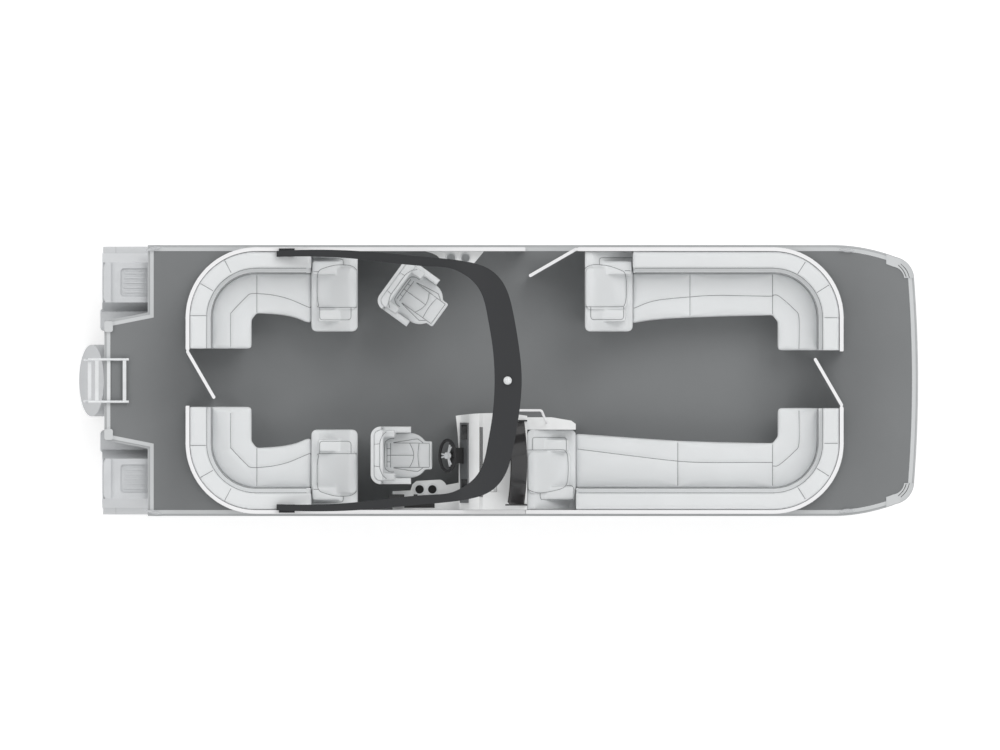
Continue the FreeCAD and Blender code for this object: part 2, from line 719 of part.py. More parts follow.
def make_deck():
    rail_inset = RUB_WIDTH + FASCIA_WALL + RAIL_FLANGE
    save("deck_panel", prism(deck_outline(rail_inset + FIT), DECK_UNDER_Z, DECK_Z))
    fascia = ring(RUB_WIDTH, RUB_WIDTH + FASCIA_WALL, CROSS_Z - RAIL_LIP, DECK_Z)
    flange = ring(RUB_WIDTH, rail_inset, DECK_UNDER_Z, DECK_Z)
    lip = ring(RUB_WIDTH, rail_inset, CROSS_Z - RAIL_LIP, CROSS_Z)
    save("deck_edge_rail", fused(fascia, flange, lip))
    rub_top = DECK_Z - RUB_DROP
    save("rub_rail", ring(0, RUB_WIDTH, rub_top - RUB_HEIGHT, rub_top))


# Fence. A quarter is one corner of it: end is -1 aft and 1 forward, side is 1 to port and -1 to
# starboard. Its own coordinates u and v run outward along the boat and across it.

Quarter = namedtuple("Quarter", "name end side cross_u cross_v side_u")

GATE_CLEAR = GATE_THICKNESS / 2 + GATE_GAP
QUARTERS = {
    "aft_port": Quarter("aft_port", -1, 1, -AFT_FENCE_X, AFT_GATE_Y + GATE_CLEAR, -SIDE_JOINT_X),
    "aft_starboard": Quarter(
        "aft_starboard", -1, -1, -AFT_FENCE_X, AFT_FENCE_END_Y, -(SIDE_JOINT_X - SIDE_JOINT_GAP / 2)),
    "fore_port": Quarter("fore_port", 1, 1, BOW_FENCE_X, BOW_FENCE_END_Y, SIDE_GATE_X + GATE_CLEAR),
    "fore_starboard": Quarter(
        "fore_starboard", 1, -1, BOW_FENCE_X, BOW_GATE_Y + GATE_CLEAR, SIDE_JOINT_X + SIDE_JOINT_GAP / 2),
}


def place(quarter, u, v):
    return point(quarter.end * u, quarter.side * v)


def corner_path(quarter, offset, cross_v, side_u):
    """Follow the fence's line, or a line beside it, from its cross end round to its side end."""
    radius = FENCE_CORNER_RADIUS + offset
    centre_u = quarter.cross_u - FENCE_CORNER_RADIUS
    centre_v = FENCE_Y - FENCE_CORNER_RADIUS
    bend = radius / math.sqrt(2)
    return [
        (place(quarter, quarter.cross_u + offset, cross_v),),
        (place(quarter, quarter.cross_u + offset, centre_v),),
        (place(quarter, centre_u + bend, centre_v + bend), place(quarter, centre_u, FENCE_Y + offset)),
        (place(quarter, side_u, FENCE_Y + offset),),
    ]


def band(quarter, outer, inner, bottom, top, cross_v, side_u):
    """Extrude the strip between two lines beside the fence's line."""
    out = corner_path(quarter, outer, cross_v, side_u)
    back = corner_path(quarter, inner, cross_v, side_u)
    outline = wire(
        out[0][0], out[1], out[2], out[3], back[3], (back[2][1],), (back[2][0], back[1][0]), back[0])
    return prism(outline, bottom, top)


def post(quarter, u, v, angle=0.0):
    centre = place(quarter, u, v)
    half = point(POST_SIZE / 2, POST_SIZE / 2)
    upright = box(centre - half + point(0, 0, DECK_Z), centre + half + point(0, 0, FENCE_TOP_Z))
    return turned(upright, centre, point(0, 0, 1), angle)


def fence_posts(quarter):
    """Place the posts: at both ends, round the corner and evenly along the side."""
    half = RAIL_SIZE / 2
    corner_u = quarter.cross_u - FENCE_CORNER_RADIUS
    corner_v = FENCE_Y - FENCE_CORNER_RADIUS
    bend = FENCE_CORNER_RADIUS / math.sqrt(2)
    posts = [
        post(quarter, quarter.cross_u, quarter.cross_v + half),
        post(quarter, quarter.cross_u, corner_v),
        post(quarter, corner_u + bend, corner_v + bend, 45),
    ]
    run = corner_u - quarter.side_u - half
    count = max(1, round(run / POST_PITCH))
    for index in range(count + 1):
        posts.append(post(quarter, corner_u - run * index / count, FENCE_Y))
    return posts


def hinge_bracket(pivot, away):
    """Model the two plates and pins that carry a gate. They reach back into the fence's end post."""
    across = point(-away.y, away.x) * HINGE_PLATE_RADIUS
    root = pivot + away * (GATE_CLEAR + RAIL_SIZE / 2)
    tip = pivot - away * HINGE_PLATE_RADIUS
    outline = wire(root + across, (pivot + across,), (tip, pivot - across), (root - across,))
    gate_low = DECK_Z + GATE_FLOOR_GAP
    gate_high = FENCE_TOP_Z - GATE_TOP_GAP
    lower = prism(outline, gate_low - GATE_GAP - HINGE_PLATE, gate_low - GATE_GAP)
    upper = prism(outline, gate_high + GATE_GAP, gate_high + GATE_GAP + HINGE_PLATE)
    radius = HINGE_PIN_DIAMETER / 2
    up = point(0, 0, 1)
    pins = []
    for start, end in (
            (gate_low - GATE_GAP, gate_low + HINGE_PIN_LENGTH),
            (gate_high - HINGE_PIN_LENGTH, gate_high + GATE_GAP)):
        pins.append(cylinder(radius, pivot + up * start, pivot + up * end))
    return [lower, upper, *pins]


def fence_frame(quarter, hinges=()):
    half = RAIL_SIZE / 2
    top = band(quarter, half, -half, FENCE_TOP_Z - RAIL_SIZE, FENCE_TOP_Z, quarter.cross_v, quarter.side_u)
    low_z = DECK_Z + FENCE_RAIL_GAP
    bottom = band(quarter, half, -half, low_z, low_z + RAIL_SIZE, quarter.cross_v, quarter.side_u)
    pieces = [top, bottom] + fence_posts(quarter)
    for pivot, away in hinges:
        pieces.extend(hinge_bracket(pivot, away))
    return fused(*pieces)


def fence_skin(quarter):
    half = RAIL_SIZE / 2
    return band(
        quarter, half + SKIN_THICKNESS, half, DECK_Z + FENCE_RAIL_GAP, FENCE_TOP_Z - SKIN_MARGIN,
        quarter.cross_v + SKIN_MARGIN, quarter.side_u + SKIN_MARGIN)


AFT_PIVOT = point(AFT_FENCE_X, AFT_GATE_Y)
BOW_PIVOT = point(BOW_FENCE_X, -BOW_GATE_Y)
SIDE_PIVOT = point(SIDE_GATE_X, FENCE_Y)


def make_fence():
    hinges = {
        "aft_port": [(AFT_PIVOT, point(0, 1))],
        "fore_port": [(SIDE_PIVOT, point(1, 0))],
        "fore_starboard": [(BOW_PIVOT, point(0, -1))],
    }
    for name, quarter in QUARTERS.items():
        save(f"fence_{name}", fence_frame(quarter, hinges.get(name, ())))
    save("fence_panels", *[fence_skin(quarter) for quarter in QUARTERS.values()])


# Gates

def gate():
    """Model a gate that swings about the origin and reaches along +X: a square frame and a sheet."""
    half = GATE_THICKNESS / 2
    low = DECK_Z + GATE_FLOOR_GAP
    high = FENCE_TOP_Z - GATE_TOP_GAP
    outline = wire(
        point(0, half), (point(-half, 0), point(0, -half)), (point(GATE_REACH - half, -half),),
        (point(GATE_REACH, 0), point(GATE_REACH - half, half)))
    leaf = prism(outline, low, high)
    window = box(
        point(half, -GATE_THICKNESS, low + GATE_THICKNESS),
        point(GATE_REACH - GATE_THICKNESS, GATE_THICKNESS, high - GATE_THICKNESS))
    sheet = box(
        point(half, -GATE_SHEET / 2, low + GATE_THICKNESS),
        point(GATE_REACH - GATE_THICKNESS, GATE_SHEET / 2, high - GATE_THICKNESS))
    leaf = leaf.cut(window).fuse(sheet)
    bore = HINGE_PIN_DIAMETER / 2 + FIT
    depth = HINGE_PIN_LENGTH + GATE_GAP
    lower = cylinder(bore, point(0, 0, low - OVERRUN), point(0, 0, low + depth))
    upper = cylinder(bore, point(0, 0, high - depth), point(0, 0, high + OVERRUN))
    return leaf.cut(lower).cut(upper).removeSplitter()


def make_gates():
    leaf = gate()
    for name, pivot, closed in (
            ("gate_aft", AFT_PIVOT, -90.0), ("gate_bow", BOW_PIVOT, 90.0), ("gate_side", SIDE_PIVOT, 180.0)):
        swung = turned(leaf, point(0, 0), point(0, 0, 1), closed + GATE_AJAR_ANGLE)
        swung.translate(pivot)
        save(name, swung)


# Lounges: each has a base, a seat, a back along the fence and a raised chaise back at one end

Lounge = namedtuple("Lounge", "quarter chaise_u chaise_length depth sweep shares")

LOUNGES = {
    "aft_port": Lounge(
        QUARTERS["aft_port"], -AFT_CHAISE_X, CHAISE_LENGTH, LOUNGE_DEPTH, AFT_FRONT_SWEEP, AFT_FRONT_SHARES),
    "aft_starboard": Lounge(
        QUARTERS["aft_starboard"], -AFT_CHAISE_X, CHAISE_LENGTH, LOUNGE_DEPTH,
        AFT_FRONT_SWEEP, AFT_FRONT_SHARES),
    "fore_port": Lounge(
        QUARTERS["fore_port"], PORT_CHAISE_X, PORT_CHAISE_LENGTH, PORT_LOUNGE_DEPTH, PORT_FRONT_SWEEP,
        PORT_FRONT_SHARES),
    "fore_starboard": Lounge(
        QUARTERS["fore_starboard"], CONSOLE_AFT_X + CONSOLE_LENGTH + FIT, HELM_CHAISE_LENGTH,
        HELM_LOUNGE_DEPTH, HELM_FRONT_SWEEP, HELM_FRONT_SHARES),
}

FENCE_FACE = RAIL_SIZE / 2 + LOUNGE_GAP
BACK_LINE = FENCE_FACE + BACK_DEPTH
SEAT_LINE = BACK_LINE + BACK_STEP


def lounge_outline(lounge, inset):
    """Draw a lounge in plan, with its open front set back by the inset."""
    quarter = lounge.quarter
    chaise_end = lounge.chaise_u + lounge.chaise_length + FIT
    end_v = quarter.cross_v + LOUNGE_END_GAP
    out = corner_path(quarter, -FENCE_FACE, end_v, chaise_end)
    corner_v = FENCE_Y - lounge.depth + inset
    corner_u = quarter.cross_u - LOUNGE_DEPTH + inset
    length = corner_u - SEAT_CORNER[0] - chaise_end
    low_v = corner_v - lounge.sweep
    front = [place(quarter, chaise_end + length * u, low_v + lounge.sweep * v) for u, v in lounge.shares]
    front.append(place(quarter, corner_u - SEAT_CORNER[0], corner_v))
    turn = place(quarter, corner_u, corner_v - SEAT_CORNER[1])
    foot = place(quarter, corner_u, end_v)
    along, bend = corner_moves(turn, foot, out[0][0], SEAT_END_RADIUS)
    corner = (place(quarter, chaise_end, low_v),)
    return wire(out[0][0], out[1], out[2], out[3], corner, tuple(front), (turn,), along, bend)


def chaise_outline(lounge, inset):
    """Draw the chaise's block in plan, with its two inboard corners rounded."""
    quarter = lounge.quarter
    outer_v = FENCE_Y - FENCE_FACE
    inner_v = outer_v - CHAISE_WIDTH + inset
    far_u = lounge.chaise_u + lounge.chaise_length
    return rounded([
        (place(quarter, lounge.chaise_u, outer_v), 0),
        (place(quarter, lounge.chaise_u, inner_v), CHAISE_RADIUS),
        (place(quarter, far_u, inner_v), CHAISE_RADIUS),
        (place(quarter, far_u, outer_v), 0),
    ])


def lean(lounge, lift, bottom):
    """Extrude the chaise's leaning side profile across the boat, raised by the lift."""
    quarter = lounge.quarter
    low_u = lounge.chaise_u + lounge.chaise_length
    high_u = lounge.chaise_u
    foot_z = DECK_Z + CHAISE_FOOT_HEIGHT + lift
    top_z = DECK_Z + CHAISE_HEIGHT + lift - PILLOW_LIFT
    run = low_u - CHAISE_RIM - high_u - CHAISE_TOP
    slope = []
    for u_share, z_share in CHAISE_LEAN_SHARES:
        slope.append((low_u - CHAISE_RIM - run * u_share, foot_z + (top_z - foot_z) * z_share))
    slope.append((high_u + CHAISE_TOP, top_z))
    curve = tuple(point(quarter.end * u, 0, z) for u, z in slope)
    outline = wire(
        point(quarter.end * low_u, 0, bottom), (point(quarter.end * low_u, 0, foot_z),),
        (point(quarter.end * (low_u - CHAISE_RIM), 0, foot_z),), curve,
        (point(quarter.end * high_u, 0, top_z),), (point(quarter.end * high_u, 0, bottom),))
    profile = Part.Face(outline).extrude(point(0, quarter.side * FENCE_Y))
    return profile


def chaise_pad(lounge, inner, width, start_share, end_share, bottom, top):
    """Raise a pad on the chaise, placed by its distance from the inboard edge."""
    quarter = lounge.quarter
    edge_v = FENCE_Y - FENCE_FACE - CHAISE_WIDTH
    near_u = lounge.chaise_u + lounge.chaise_length * (1 - start_share)
    far_u = lounge.chaise_u + lounge.chaise_length * (1 - end_share)
    radius = min(width, lounge.chaise_length) / 8
    outline = rounded([
        (place(quarter, near_u, edge_v + inner), radius),
        (place(quarter, near_u, edge_v + inner + width), radius),
        (place(quarter, far_u, edge_v + inner + width), radius),
        (place(quarter, far_u, edge_v + inner), radius),
    ])
    return prism(outline, bottom, top)


def chaise(lounge):
    """Model a chaise back: the leaning block with its pillow and an armrest on each side."""
    bottom = DECK_Z + SEAT_HEIGHT - CUSHION_THICKNESS
    high = DECK_Z + CHAISE_HEIGHT
    block = prism(chaise_outline(lounge, 0), bottom, high).common(lean(lounge, 0, bottom))
    pillow = chaise_pad(lounge, PILLOW_INNER, PILLOW_LENGTH, *PILLOW_SHARE, bottom, high)
    pillow = pillow.common(lean(lounge, PILLOW_LIFT, bottom))
    rest_z = DECK_Z + ARMREST_HEIGHT
    armrest = chaise_pad(lounge, ARMREST_INSET, ARMREST_WIDTH, *ARMREST_LENGTH_SHARE, bottom, rest_z)
    outer_rest = chaise_pad(lounge, OUTER_REST_INSET, OUTER_REST_WIDTH, *OUTER_REST_SHARE, bottom, rest_z)
    return fused(block, pillow, armrest, outer_rest)


def lounge_base(lounge):
    top = DECK_Z + SEAT_HEIGHT - CUSHION_THICKNESS
    seat_base = prism(lounge_outline(lounge, TOE_KICK), DECK_Z, top)
    chaise_base = prism(chaise_outline(lounge, TOE_KICK), DECK_Z, top)
    return seat_base.fuse(chaise_base)


def lounge_seat(lounge):
    """Model the seat cushion, which fills the lounge's plan inside the back."""
    bottom = DECK_Z + SEAT_HEIGHT - CUSHION_THICKNESS
    whole = prism(lounge_outline(lounge, 0), bottom, DECK_Z + SEAT_HEIGHT)
    back = band(
        lounge.quarter, OVERRUN, -SEAT_LINE, bottom - OVERRUN, DECK_Z + SEAT_HEIGHT + OVERRUN, 0,
        lounge.chaise_u)
    return whole.cut(back)


def lounge_back(lounge):
    """Model the back along the fence, with a lower step in front of its top."""
    quarter = lounge.quarter
    bottom = DECK_Z + SEAT_HEIGHT - CUSHION_THICKNESS
    end_v = quarter.cross_v + LOUNGE_END_GAP
    chaise_end = lounge.chaise_u + lounge.chaise_length + FIT
    lower = band(
        quarter, -FENCE_FACE, FIT - SEAT_LINE, bottom, DECK_Z + BACK_STEP_HEIGHT, end_v, chaise_end)
    upper = band(quarter, -FENCE_FACE, -BACK_LINE, bottom, DECK_Z + BACK_HEIGHT, end_v, chaise_end)
    return fused(lower, upper)


def make_lounges():
    save("lounge_bases", *[lounge_base(lounge) for lounge in LOUNGES.values()])
    for name, lounge in LOUNGES.items():
        save(f"seat_{name}", lounge_seat(lounge))
        save(f"back_{name}", lounge_back(lounge))
        save(f"chaise_{name}", chaise(lounge))


# Console and what it carries

OUTER_Y = FENCE_FACE - FENCE_Y
CONSOLE_INNER_Y = OUTER_Y + CONSOLE_WIDTH
CONSOLE_FORE_X = CONSOLE_AFT_X + CONSOLE_LENGTH


def console_outline():
    """Draw the console in plan, with its bowed inboard side and its corner that reaches aft."""
    middle_y = (CONSOLE_INNER_Y + OUTER_Y) / 2
    corner = point(CONSOLE_AFT_X - CONSOLE_NOSE, CONSOLE_INNER_Y)
    fore = point(CONSOLE_FORE_X, CONSOLE_INNER_Y)
    bow = (corner + fore) / 2 + point(0, CONSOLE_BULGE)
    sweep = point(CONSOLE_AFT_X - CONSOLE_NOSE / 4, (CONSOLE_INNER_Y + middle_y) / 2)
    return wire(
        point(CONSOLE_AFT_X, OUTER_Y), (point(CONSOLE_AFT_X, middle_y),), (sweep, corner), (bow, fore),
        (point(CONSOLE_FORE_X, OUTER_Y),))


def console_x(share):
    return CONSOLE_AFT_X + CONSOLE_LENGTH * share


def dash_line():
    """Return the lower and upper ends of the sloping dash, in the plane across the boat's beam."""
    low = point(console_x(CONSOLE_DESK_SHARE), 0, DECK_Z + CONSOLE_DESK_HEIGHT)
    high = point(console_x(CONSOLE_DASH_SHARE), 0, DECK_Z + CONSOLE_DASH_HEIGHT)
    return low, high


def console_profile():
    low, high = dash_line()
    aft_x = CONSOLE_AFT_X - CONSOLE_NOSE - OVERRUN
    brow = point(console_x(CONSOLE_BROW_SHARE), 0, DECK_Z + CONSOLE_BROW_HEIGHT)
    step = point(console_x(CONSOLE_STEP_SHARE), 0, brow.z - CONSOLE_BROW_STEP)
    crown = (high + brow) / 2 + point(0, 0, CONSOLE_BROW_STEP / 2)
    top_z = DECK_Z + CONSOLE_HEIGHT
    base_z = DECK_Z + CONSOLE_TOE_HEIGHT
    outline = wire(
        point(aft_x, 0, base_z), (point(aft_x, 0, low.z),), (low,), (high,), (crown, brow), (step,),
        (point(console_x(CONSOLE_TRAY_SHARE), 0, top_z),), (point(CONSOLE_FORE_X, 0, top_z),),
        (point(CONSOLE_FORE_X, 0, base_z),))
    return Part.Face(outline).extrude(point(0, OUTER_Y - OVERRUN))


def console():
    top = DECK_Z + CONSOLE_BROW_HEIGHT + OVERRUN
    body = prism(console_outline(), DECK_Z + CONSOLE_TOE_HEIGHT, top).common(console_profile())
    toe = prism(console_outline(), DECK_Z, DECK_Z + CONSOLE_TOE_HEIGHT)
    inset = point(CONSOLE_TOE_DEPTH, -CONSOLE_TOE_DEPTH)
    toe = toe.common(prism(console_outline(), DECK_Z, top).translated(inset))
    length, width, depth = CONSOLE_TRAY_SIZE
    tray_x = console_x(CONSOLE_TRAY_SHARE)
    tray_y = CONSOLE_INNER_Y - CONSOLE_TRAY_INSET
    top_z = DECK_Z + CONSOLE_HEIGHT
    tray = box(point(tray_x, tray_y - width, top_z - depth), point(tray_x + length, tray_y, top_z + OVERRUN))
    return fused(body, toe).cut(tray)


def dash_slab(inner_y, outer_y, low_share, high_share, base, thickness):
    """Model a flat piece on the dash's slope, from one share of the slope's height to another."""
    low, high = dash_line()
    slope = high - low
    outward = point(-slope.z, 0, slope.x).normalize()
    start = low + slope * low_share + outward * base + point(0, inner_y)
    end = low + slope * high_share + outward * base + point(0, inner_y)
    outline = Part.makePolygon([start, end, end + outward * thickness, start + outward * thickness, start])
    return Part.Face(outline).extrude(point(0, outer_y - inner_y))


def make_console():
    body = console()
    save("console", body)
    inner_y = CONSOLE_INNER_Y - DASH_INSET
    outer_y = OUTER_Y + DASH_INSET
    slab = dash_slab(inner_y, outer_y, DASH_MARGIN_SHARE, 1 - DASH_MARGIN_SHARE, 0, DASH_THICKNESS)
    screen_y = inner_y - SCREEN_INSET
    first = dash_slab(
        screen_y, screen_y - SCREEN_LENGTH, *SCREEN_SHARE, DASH_THICKNESS, SCREEN_THICKNESS)
    second_y = outer_y + DASH_INSET + SCREEN_INSET
    second = dash_slab(
        second_y + SCREEN_LENGTH, second_y, *SCREEN_SHARE, DASH_THICKNESS, SCREEN_THICKNESS)
    column = steering_column().cut(body).cut(slab)
    save("dash_panel", slab)
    save("screens", first, second)
    save("steering_column", column)
    panel = helm_panel()
    save("helm_panel", panel)
    save("windshield", windshield())
    save("windshield_frame", *windshield_frame())
    save("grab_rail", grab_rail().cut(body).cut(panel))


def helm_panel():
    """Model the moulded wall beside the chaise in front of the console."""
    start_x = CONSOLE_FORE_X + FIT
    end_x = start_x + HELM_CHAISE_LENGTH
    wall_y = FENCE_FACE + CHAISE_WIDTH - FENCE_Y + FIT
    near_y = CONSOLE_INNER_Y - PANEL_OVERHANG
    corner = point(end_x, near_y - PANEL_CORNER[1])
    outline = wire(
        point(start_x, wall_y), (point(start_x, near_y),), (point((start_x + end_x) / 2, near_y),),
        (corner - point(PANEL_CORNER[0], -PANEL_CORNER[1] / 2),), (corner,), (point(end_x, wall_y),))
    return prism(outline, DECK_Z, DECK_Z + PANEL_HEIGHT)


def shield_arc(share, setback, height):
    """Draw the windshield's thin section at one height, bowed forward."""
    half = SHIELD_HALF_LENGTH * share
    centre_y = (CONSOLE_INNER_Y + OUTER_Y) / 2 + SHIELD_SHIFT
    x = CONSOLE_FORE_X - SHIELD_BOW - SHIELD_THICKNESS - setback
    z = DECK_Z + CONSOLE_HEIGHT + height
    ends = [point(x, centre_y - half, z), point(x, centre_y + half, z)]
    middle = point(x + SHIELD_BOW, centre_y, z)
    across = point(SHIELD_THICKNESS, 0)
    front = Part.Arc(ends[0] + across, middle + across, ends[1] + across).toShape()
    back = Part.Arc(ends[1], middle, ends[0]).toShape()
    return Part.Wire([
        front, Part.makeLine(ends[1] + across, ends[1]), back, Part.makeLine(ends[0], ends[0] + across)])


def windshield():
    shoulder = SHIELD_CORNER_SHARE
    low = shield_arc(1, 0, 0)
    high = shield_arc(1, SHIELD_RAKE * shoulder, SHIELD_HEIGHT * shoulder)
    top = shield_arc(shoulder + (1 - shoulder) / 2, SHIELD_RAKE, SHIELD_HEIGHT)
    lower = Part.makeLoft([low, high], True, True)
    upper = Part.makeLoft([high, top], True, True)
    return fused(lower, upper)


def windshield_frame():
    """Model the two raked posts at the windshield's ends."""
    centre_y = (CONSOLE_INNER_Y + OUTER_Y) / 2 + SHIELD_SHIFT
    x = CONSOLE_FORE_X - SHIELD_BOW - SHIELD_THICKNESS
    z = DECK_Z + CONSOLE_HEIGHT
    rake = point(-SHIELD_RAKE, 0, SHIELD_HEIGHT) * SHIELD_CORNER_SHARE
    foot = point(SHIELD_BRACKET_LENGTH / 2, 0)
    posts = []
    for side in (-1, 1):
        start = point(x - SHIELD_BRACKET_LENGTH / 4, centre_y + side * (SHIELD_HALF_LENGTH + FIT), z)
        outline = Part.makePolygon([start, start + foot, start + foot / 2 + rake, start + rake, start])
        posts.append(Part.Face(outline).extrude(point(0, side * SHIELD_BRACKET_WALL)))
    return posts


def bent_tube(points, bend, diameter):
    """Sweep a round tube along straight runs that arcs join."""
    edges = []
    here = points[0]
    for index in range(1, len(points) - 1):
        (start,), (middle, end) = corner_moves(points[index - 1], points[index], points[index + 1], bend)
        edges.append(Part.makeLine(here, start))
        edges.append(Part.Arc(start, middle, end).toShape())
        here = end
    edges.append(Part.makeLine(here, points[-1]))
    path = Part.Wire(edges)
    section = Part.Wire(Part.makeCircle(diameter / 2, points[0], points[1] - points[0]))
    return path.makePipeShell([section], True, True)


def grab_rail():
    """Model the rail that starts on the console's side and steps down to the panel before it."""
    high = DECK_Z + CONSOLE_HEIGHT - GRAB_DIAMETER
    start_x = console_x(GRAB_START_SHARE)
    out_y = CONSOLE_INNER_Y + CONSOLE_BULGE + GRAB_SIDE_GAP
    foot = point(CONSOLE_FORE_X + GRAB_FOOT_REACH, CONSOLE_INNER_Y - PANEL_OVERHANG - GRAB_STANDOFF)
    knee = point(foot.x - GRAB_STANDOFF, out_y)
    points = [
        point(start_x, CONSOLE_INNER_Y - GRAB_DIAMETER, high),
        point(start_x, out_y, high),
        point(knee.x, knee.y, high),
        point(foot.x, foot.y, high - GRAB_STANDOFF),
        point(foot.x, foot.y, DECK_Z + PANEL_HEIGHT - GRAB_DIAMETER),
    ]
    return bent_tube(points, GRAB_BEND, GRAB_DIAMETER)


# Steering wheel and its column

WHEEL_AXIS = point(-math.cos(math.radians(WHEEL_TILT)), 0, math.sin(math.radians(WHEEL_TILT)))
WHEEL_Y = (CONSOLE_INNER_Y + OUTER_Y) / 2 + WHEEL_SHIFT
WHEEL_HUB = point(WHEEL_HUB_X, WHEEL_Y, DECK_Z + WHEEL_HEIGHT)


def steering_column():
    """Model the shaft's housing, from behind the wheel into the dash."""
    length, width, height = COLUMN_BLOCK_SIZE
    start = WHEEL_HUB - WHEEL_AXIS * (WHEEL_HUB_LENGTH / 2 + FIT)
    shoulder = start - WHEEL_AXIS * COLUMN_NECK
    shaft = cylinder(COLUMN_DIAMETER / 2, start, shoulder)
    block = Part.makeBox(length, width, height, point(0, -width / 2, -height / 2))
    block.rotate(point(0, 0), point(0, 1, 0), WHEEL_TILT)
    block.translate(shoulder)
    return shaft.fuse(block).removeSplitter()


def spoke(angle, radius):
    """Model a pair of thin spokes that spread from the hub to the rim."""
    bars = []
    for side in (-1, 1):
        bar = box(
            point(0, -WHEEL_SPOKE_WIDTH / 2, -WHEEL_SPOKE_THICKNESS / 2),
            point(radius, WHEEL_SPOKE_WIDTH / 2, WHEEL_SPOKE_THICKNESS / 2))
        bars.append(turned(bar, point(0, 0), point(0, 0, 1), angle + side * WHEEL_SPOKE_SPREAD / 2))
    return bars


def steering_wheel():
    radius = (WHEEL_DIAMETER - WHEEL_RIM) / 2
    rim = Part.makeTorus(radius, WHEEL_RIM / 2)
    hub = Part.makeCylinder(WHEEL_HUB_DIAMETER / 2, WHEEL_HUB_LENGTH, point(0, 0, -WHEEL_HUB_LENGTH / 2))
    pieces = [rim, hub]
    for angle in (180, 60, -60):
        pieces.extend(spoke(angle, radius))
    wheel = fused(*pieces)
    wheel.rotate(point(0, 0), point(0, 1, 0), WHEEL_TILT - 90)
    wheel.translate(WHEEL_HUB)
    return wheel


# Side console, throttle, table and cup holders

def cup_insert(x, y, top_z, rim_diameter):
    """Model a flanged cup that drops into a round hole."""
    wall = CUP_RIM_HEIGHT / 2
    centre = point(x, y, top_z)
    up = point(0, 0, 1)
    flange = cylinder(rim_diameter / 2, centre, centre + up * CUP_RIM_HEIGHT)
    cup = cylinder(CUP_DIAMETER / 2 + wall, centre - up * (CUP_DEPTH + wall), centre)
    hollow = cylinder(CUP_DIAMETER / 2, centre - up * CUP_DEPTH, centre + up * OVERRUN)
    return flange.fuse(cup).cut(hollow).removeSplitter()


def cup_hole(x, y, top_z):
    wall = CUP_RIM_HEIGHT / 2 + FIT
    centre = point(x, y, top_z)
    up = point(0, 0, 1)
    return cylinder(CUP_DIAMETER / 2 + wall, centre - up * (CUP_DEPTH + wall), centre + up * OVERRUN)


def side_console():
    """Model the low moulding beside the helm: a shelf with two cups and a ridge for the throttle."""
    edge = [
        point(CONSOLE_AFT_X - FIT - SIDE_CONSOLE_LENGTH * u, OUTER_Y + SIDE_CONSOLE_DEPTH * v)
        for u, v in SIDE_EDGE_SHARES]
    outline = wire(
        point(edge[0].x, OUTER_Y), (edge[0],), (edge[1],), (edge[2], edge[3]), (edge[4],),
        (edge[5],), (edge[6],), (edge[7],), (point(edge[7].x, OUTER_Y),))
    shelf = prism(outline, DECK_Z, DECK_Z + SIDE_CONSOLE_HEIGHT)
    ridge = box(
        point(edge[7].x, OUTER_Y, DECK_Z),
        point(edge[0].x, OUTER_Y + SIDE_RIDGE_DEPTH, DECK_Z + SIDE_RIDGE_HEIGHT))
    body = fused(shelf, ridge)
    for x in (SIDE_CUP_X - CUP_PITCH / 2, SIDE_CUP_X + CUP_PITCH / 2):
        body = body.cut(cup_hole(x, OUTER_Y + SIDE_CUP_INSET, DECK_Z + SIDE_CONSOLE_HEIGHT))
    return body


def throttle():
    """Model the throttle's housing with its lever and grip, and the long plate before it."""
    base_z = DECK_Z + SIDE_RIDGE_HEIGHT
    centre_y = OUTER_Y + SIDE_RIDGE_DEPTH - THROTTLE_WIDTH / 2 + THROTTLE_OVERHANG
    half = THROTTLE_WIDTH / 2
    aft_x = THROTTLE_X - THROTTLE_LENGTH / 2
    fore_x = THROTTLE_X + THROTTLE_LENGTH / 2
    housing = prism(rounded([
        (point(aft_x, centre_y - half), half / 2),
        (point(fore_x, centre_y - half), 0),
        (point(fore_x, centre_y + half), 0),
        (point(aft_x, centre_y + half), half / 2),
    ]), base_z, base_z + THROTTLE_HEIGHT)
    plate = box(
        point(fore_x, OUTER_Y + OVERRUN, base_z),
        point(fore_x + THROTTLE_PLATE_LENGTH, centre_y + half / 2, base_z + HINGE_PLATE))
    lever_x = fore_x + THROTTLE_PLATE_LENGTH / 3
    length, thickness = THROTTLE_LEVER_SIZE
    lever = box(
        point(lever_x, centre_y - thickness / 2, base_z),
        point(lever_x + length, centre_y + thickness / 2, base_z + THROTTLE_LEVER_LENGTH))
    grip_z = base_z + THROTTLE_LEVER_LENGTH
    grip = cylinder(
        THROTTLE_GRIP_DIAMETER / 2, point(lever_x + length / 2, centre_y - half / 2, grip_z),
        point(lever_x + length / 2, centre_y + half, grip_z))
    return fused(housing, plate, lever, grip)


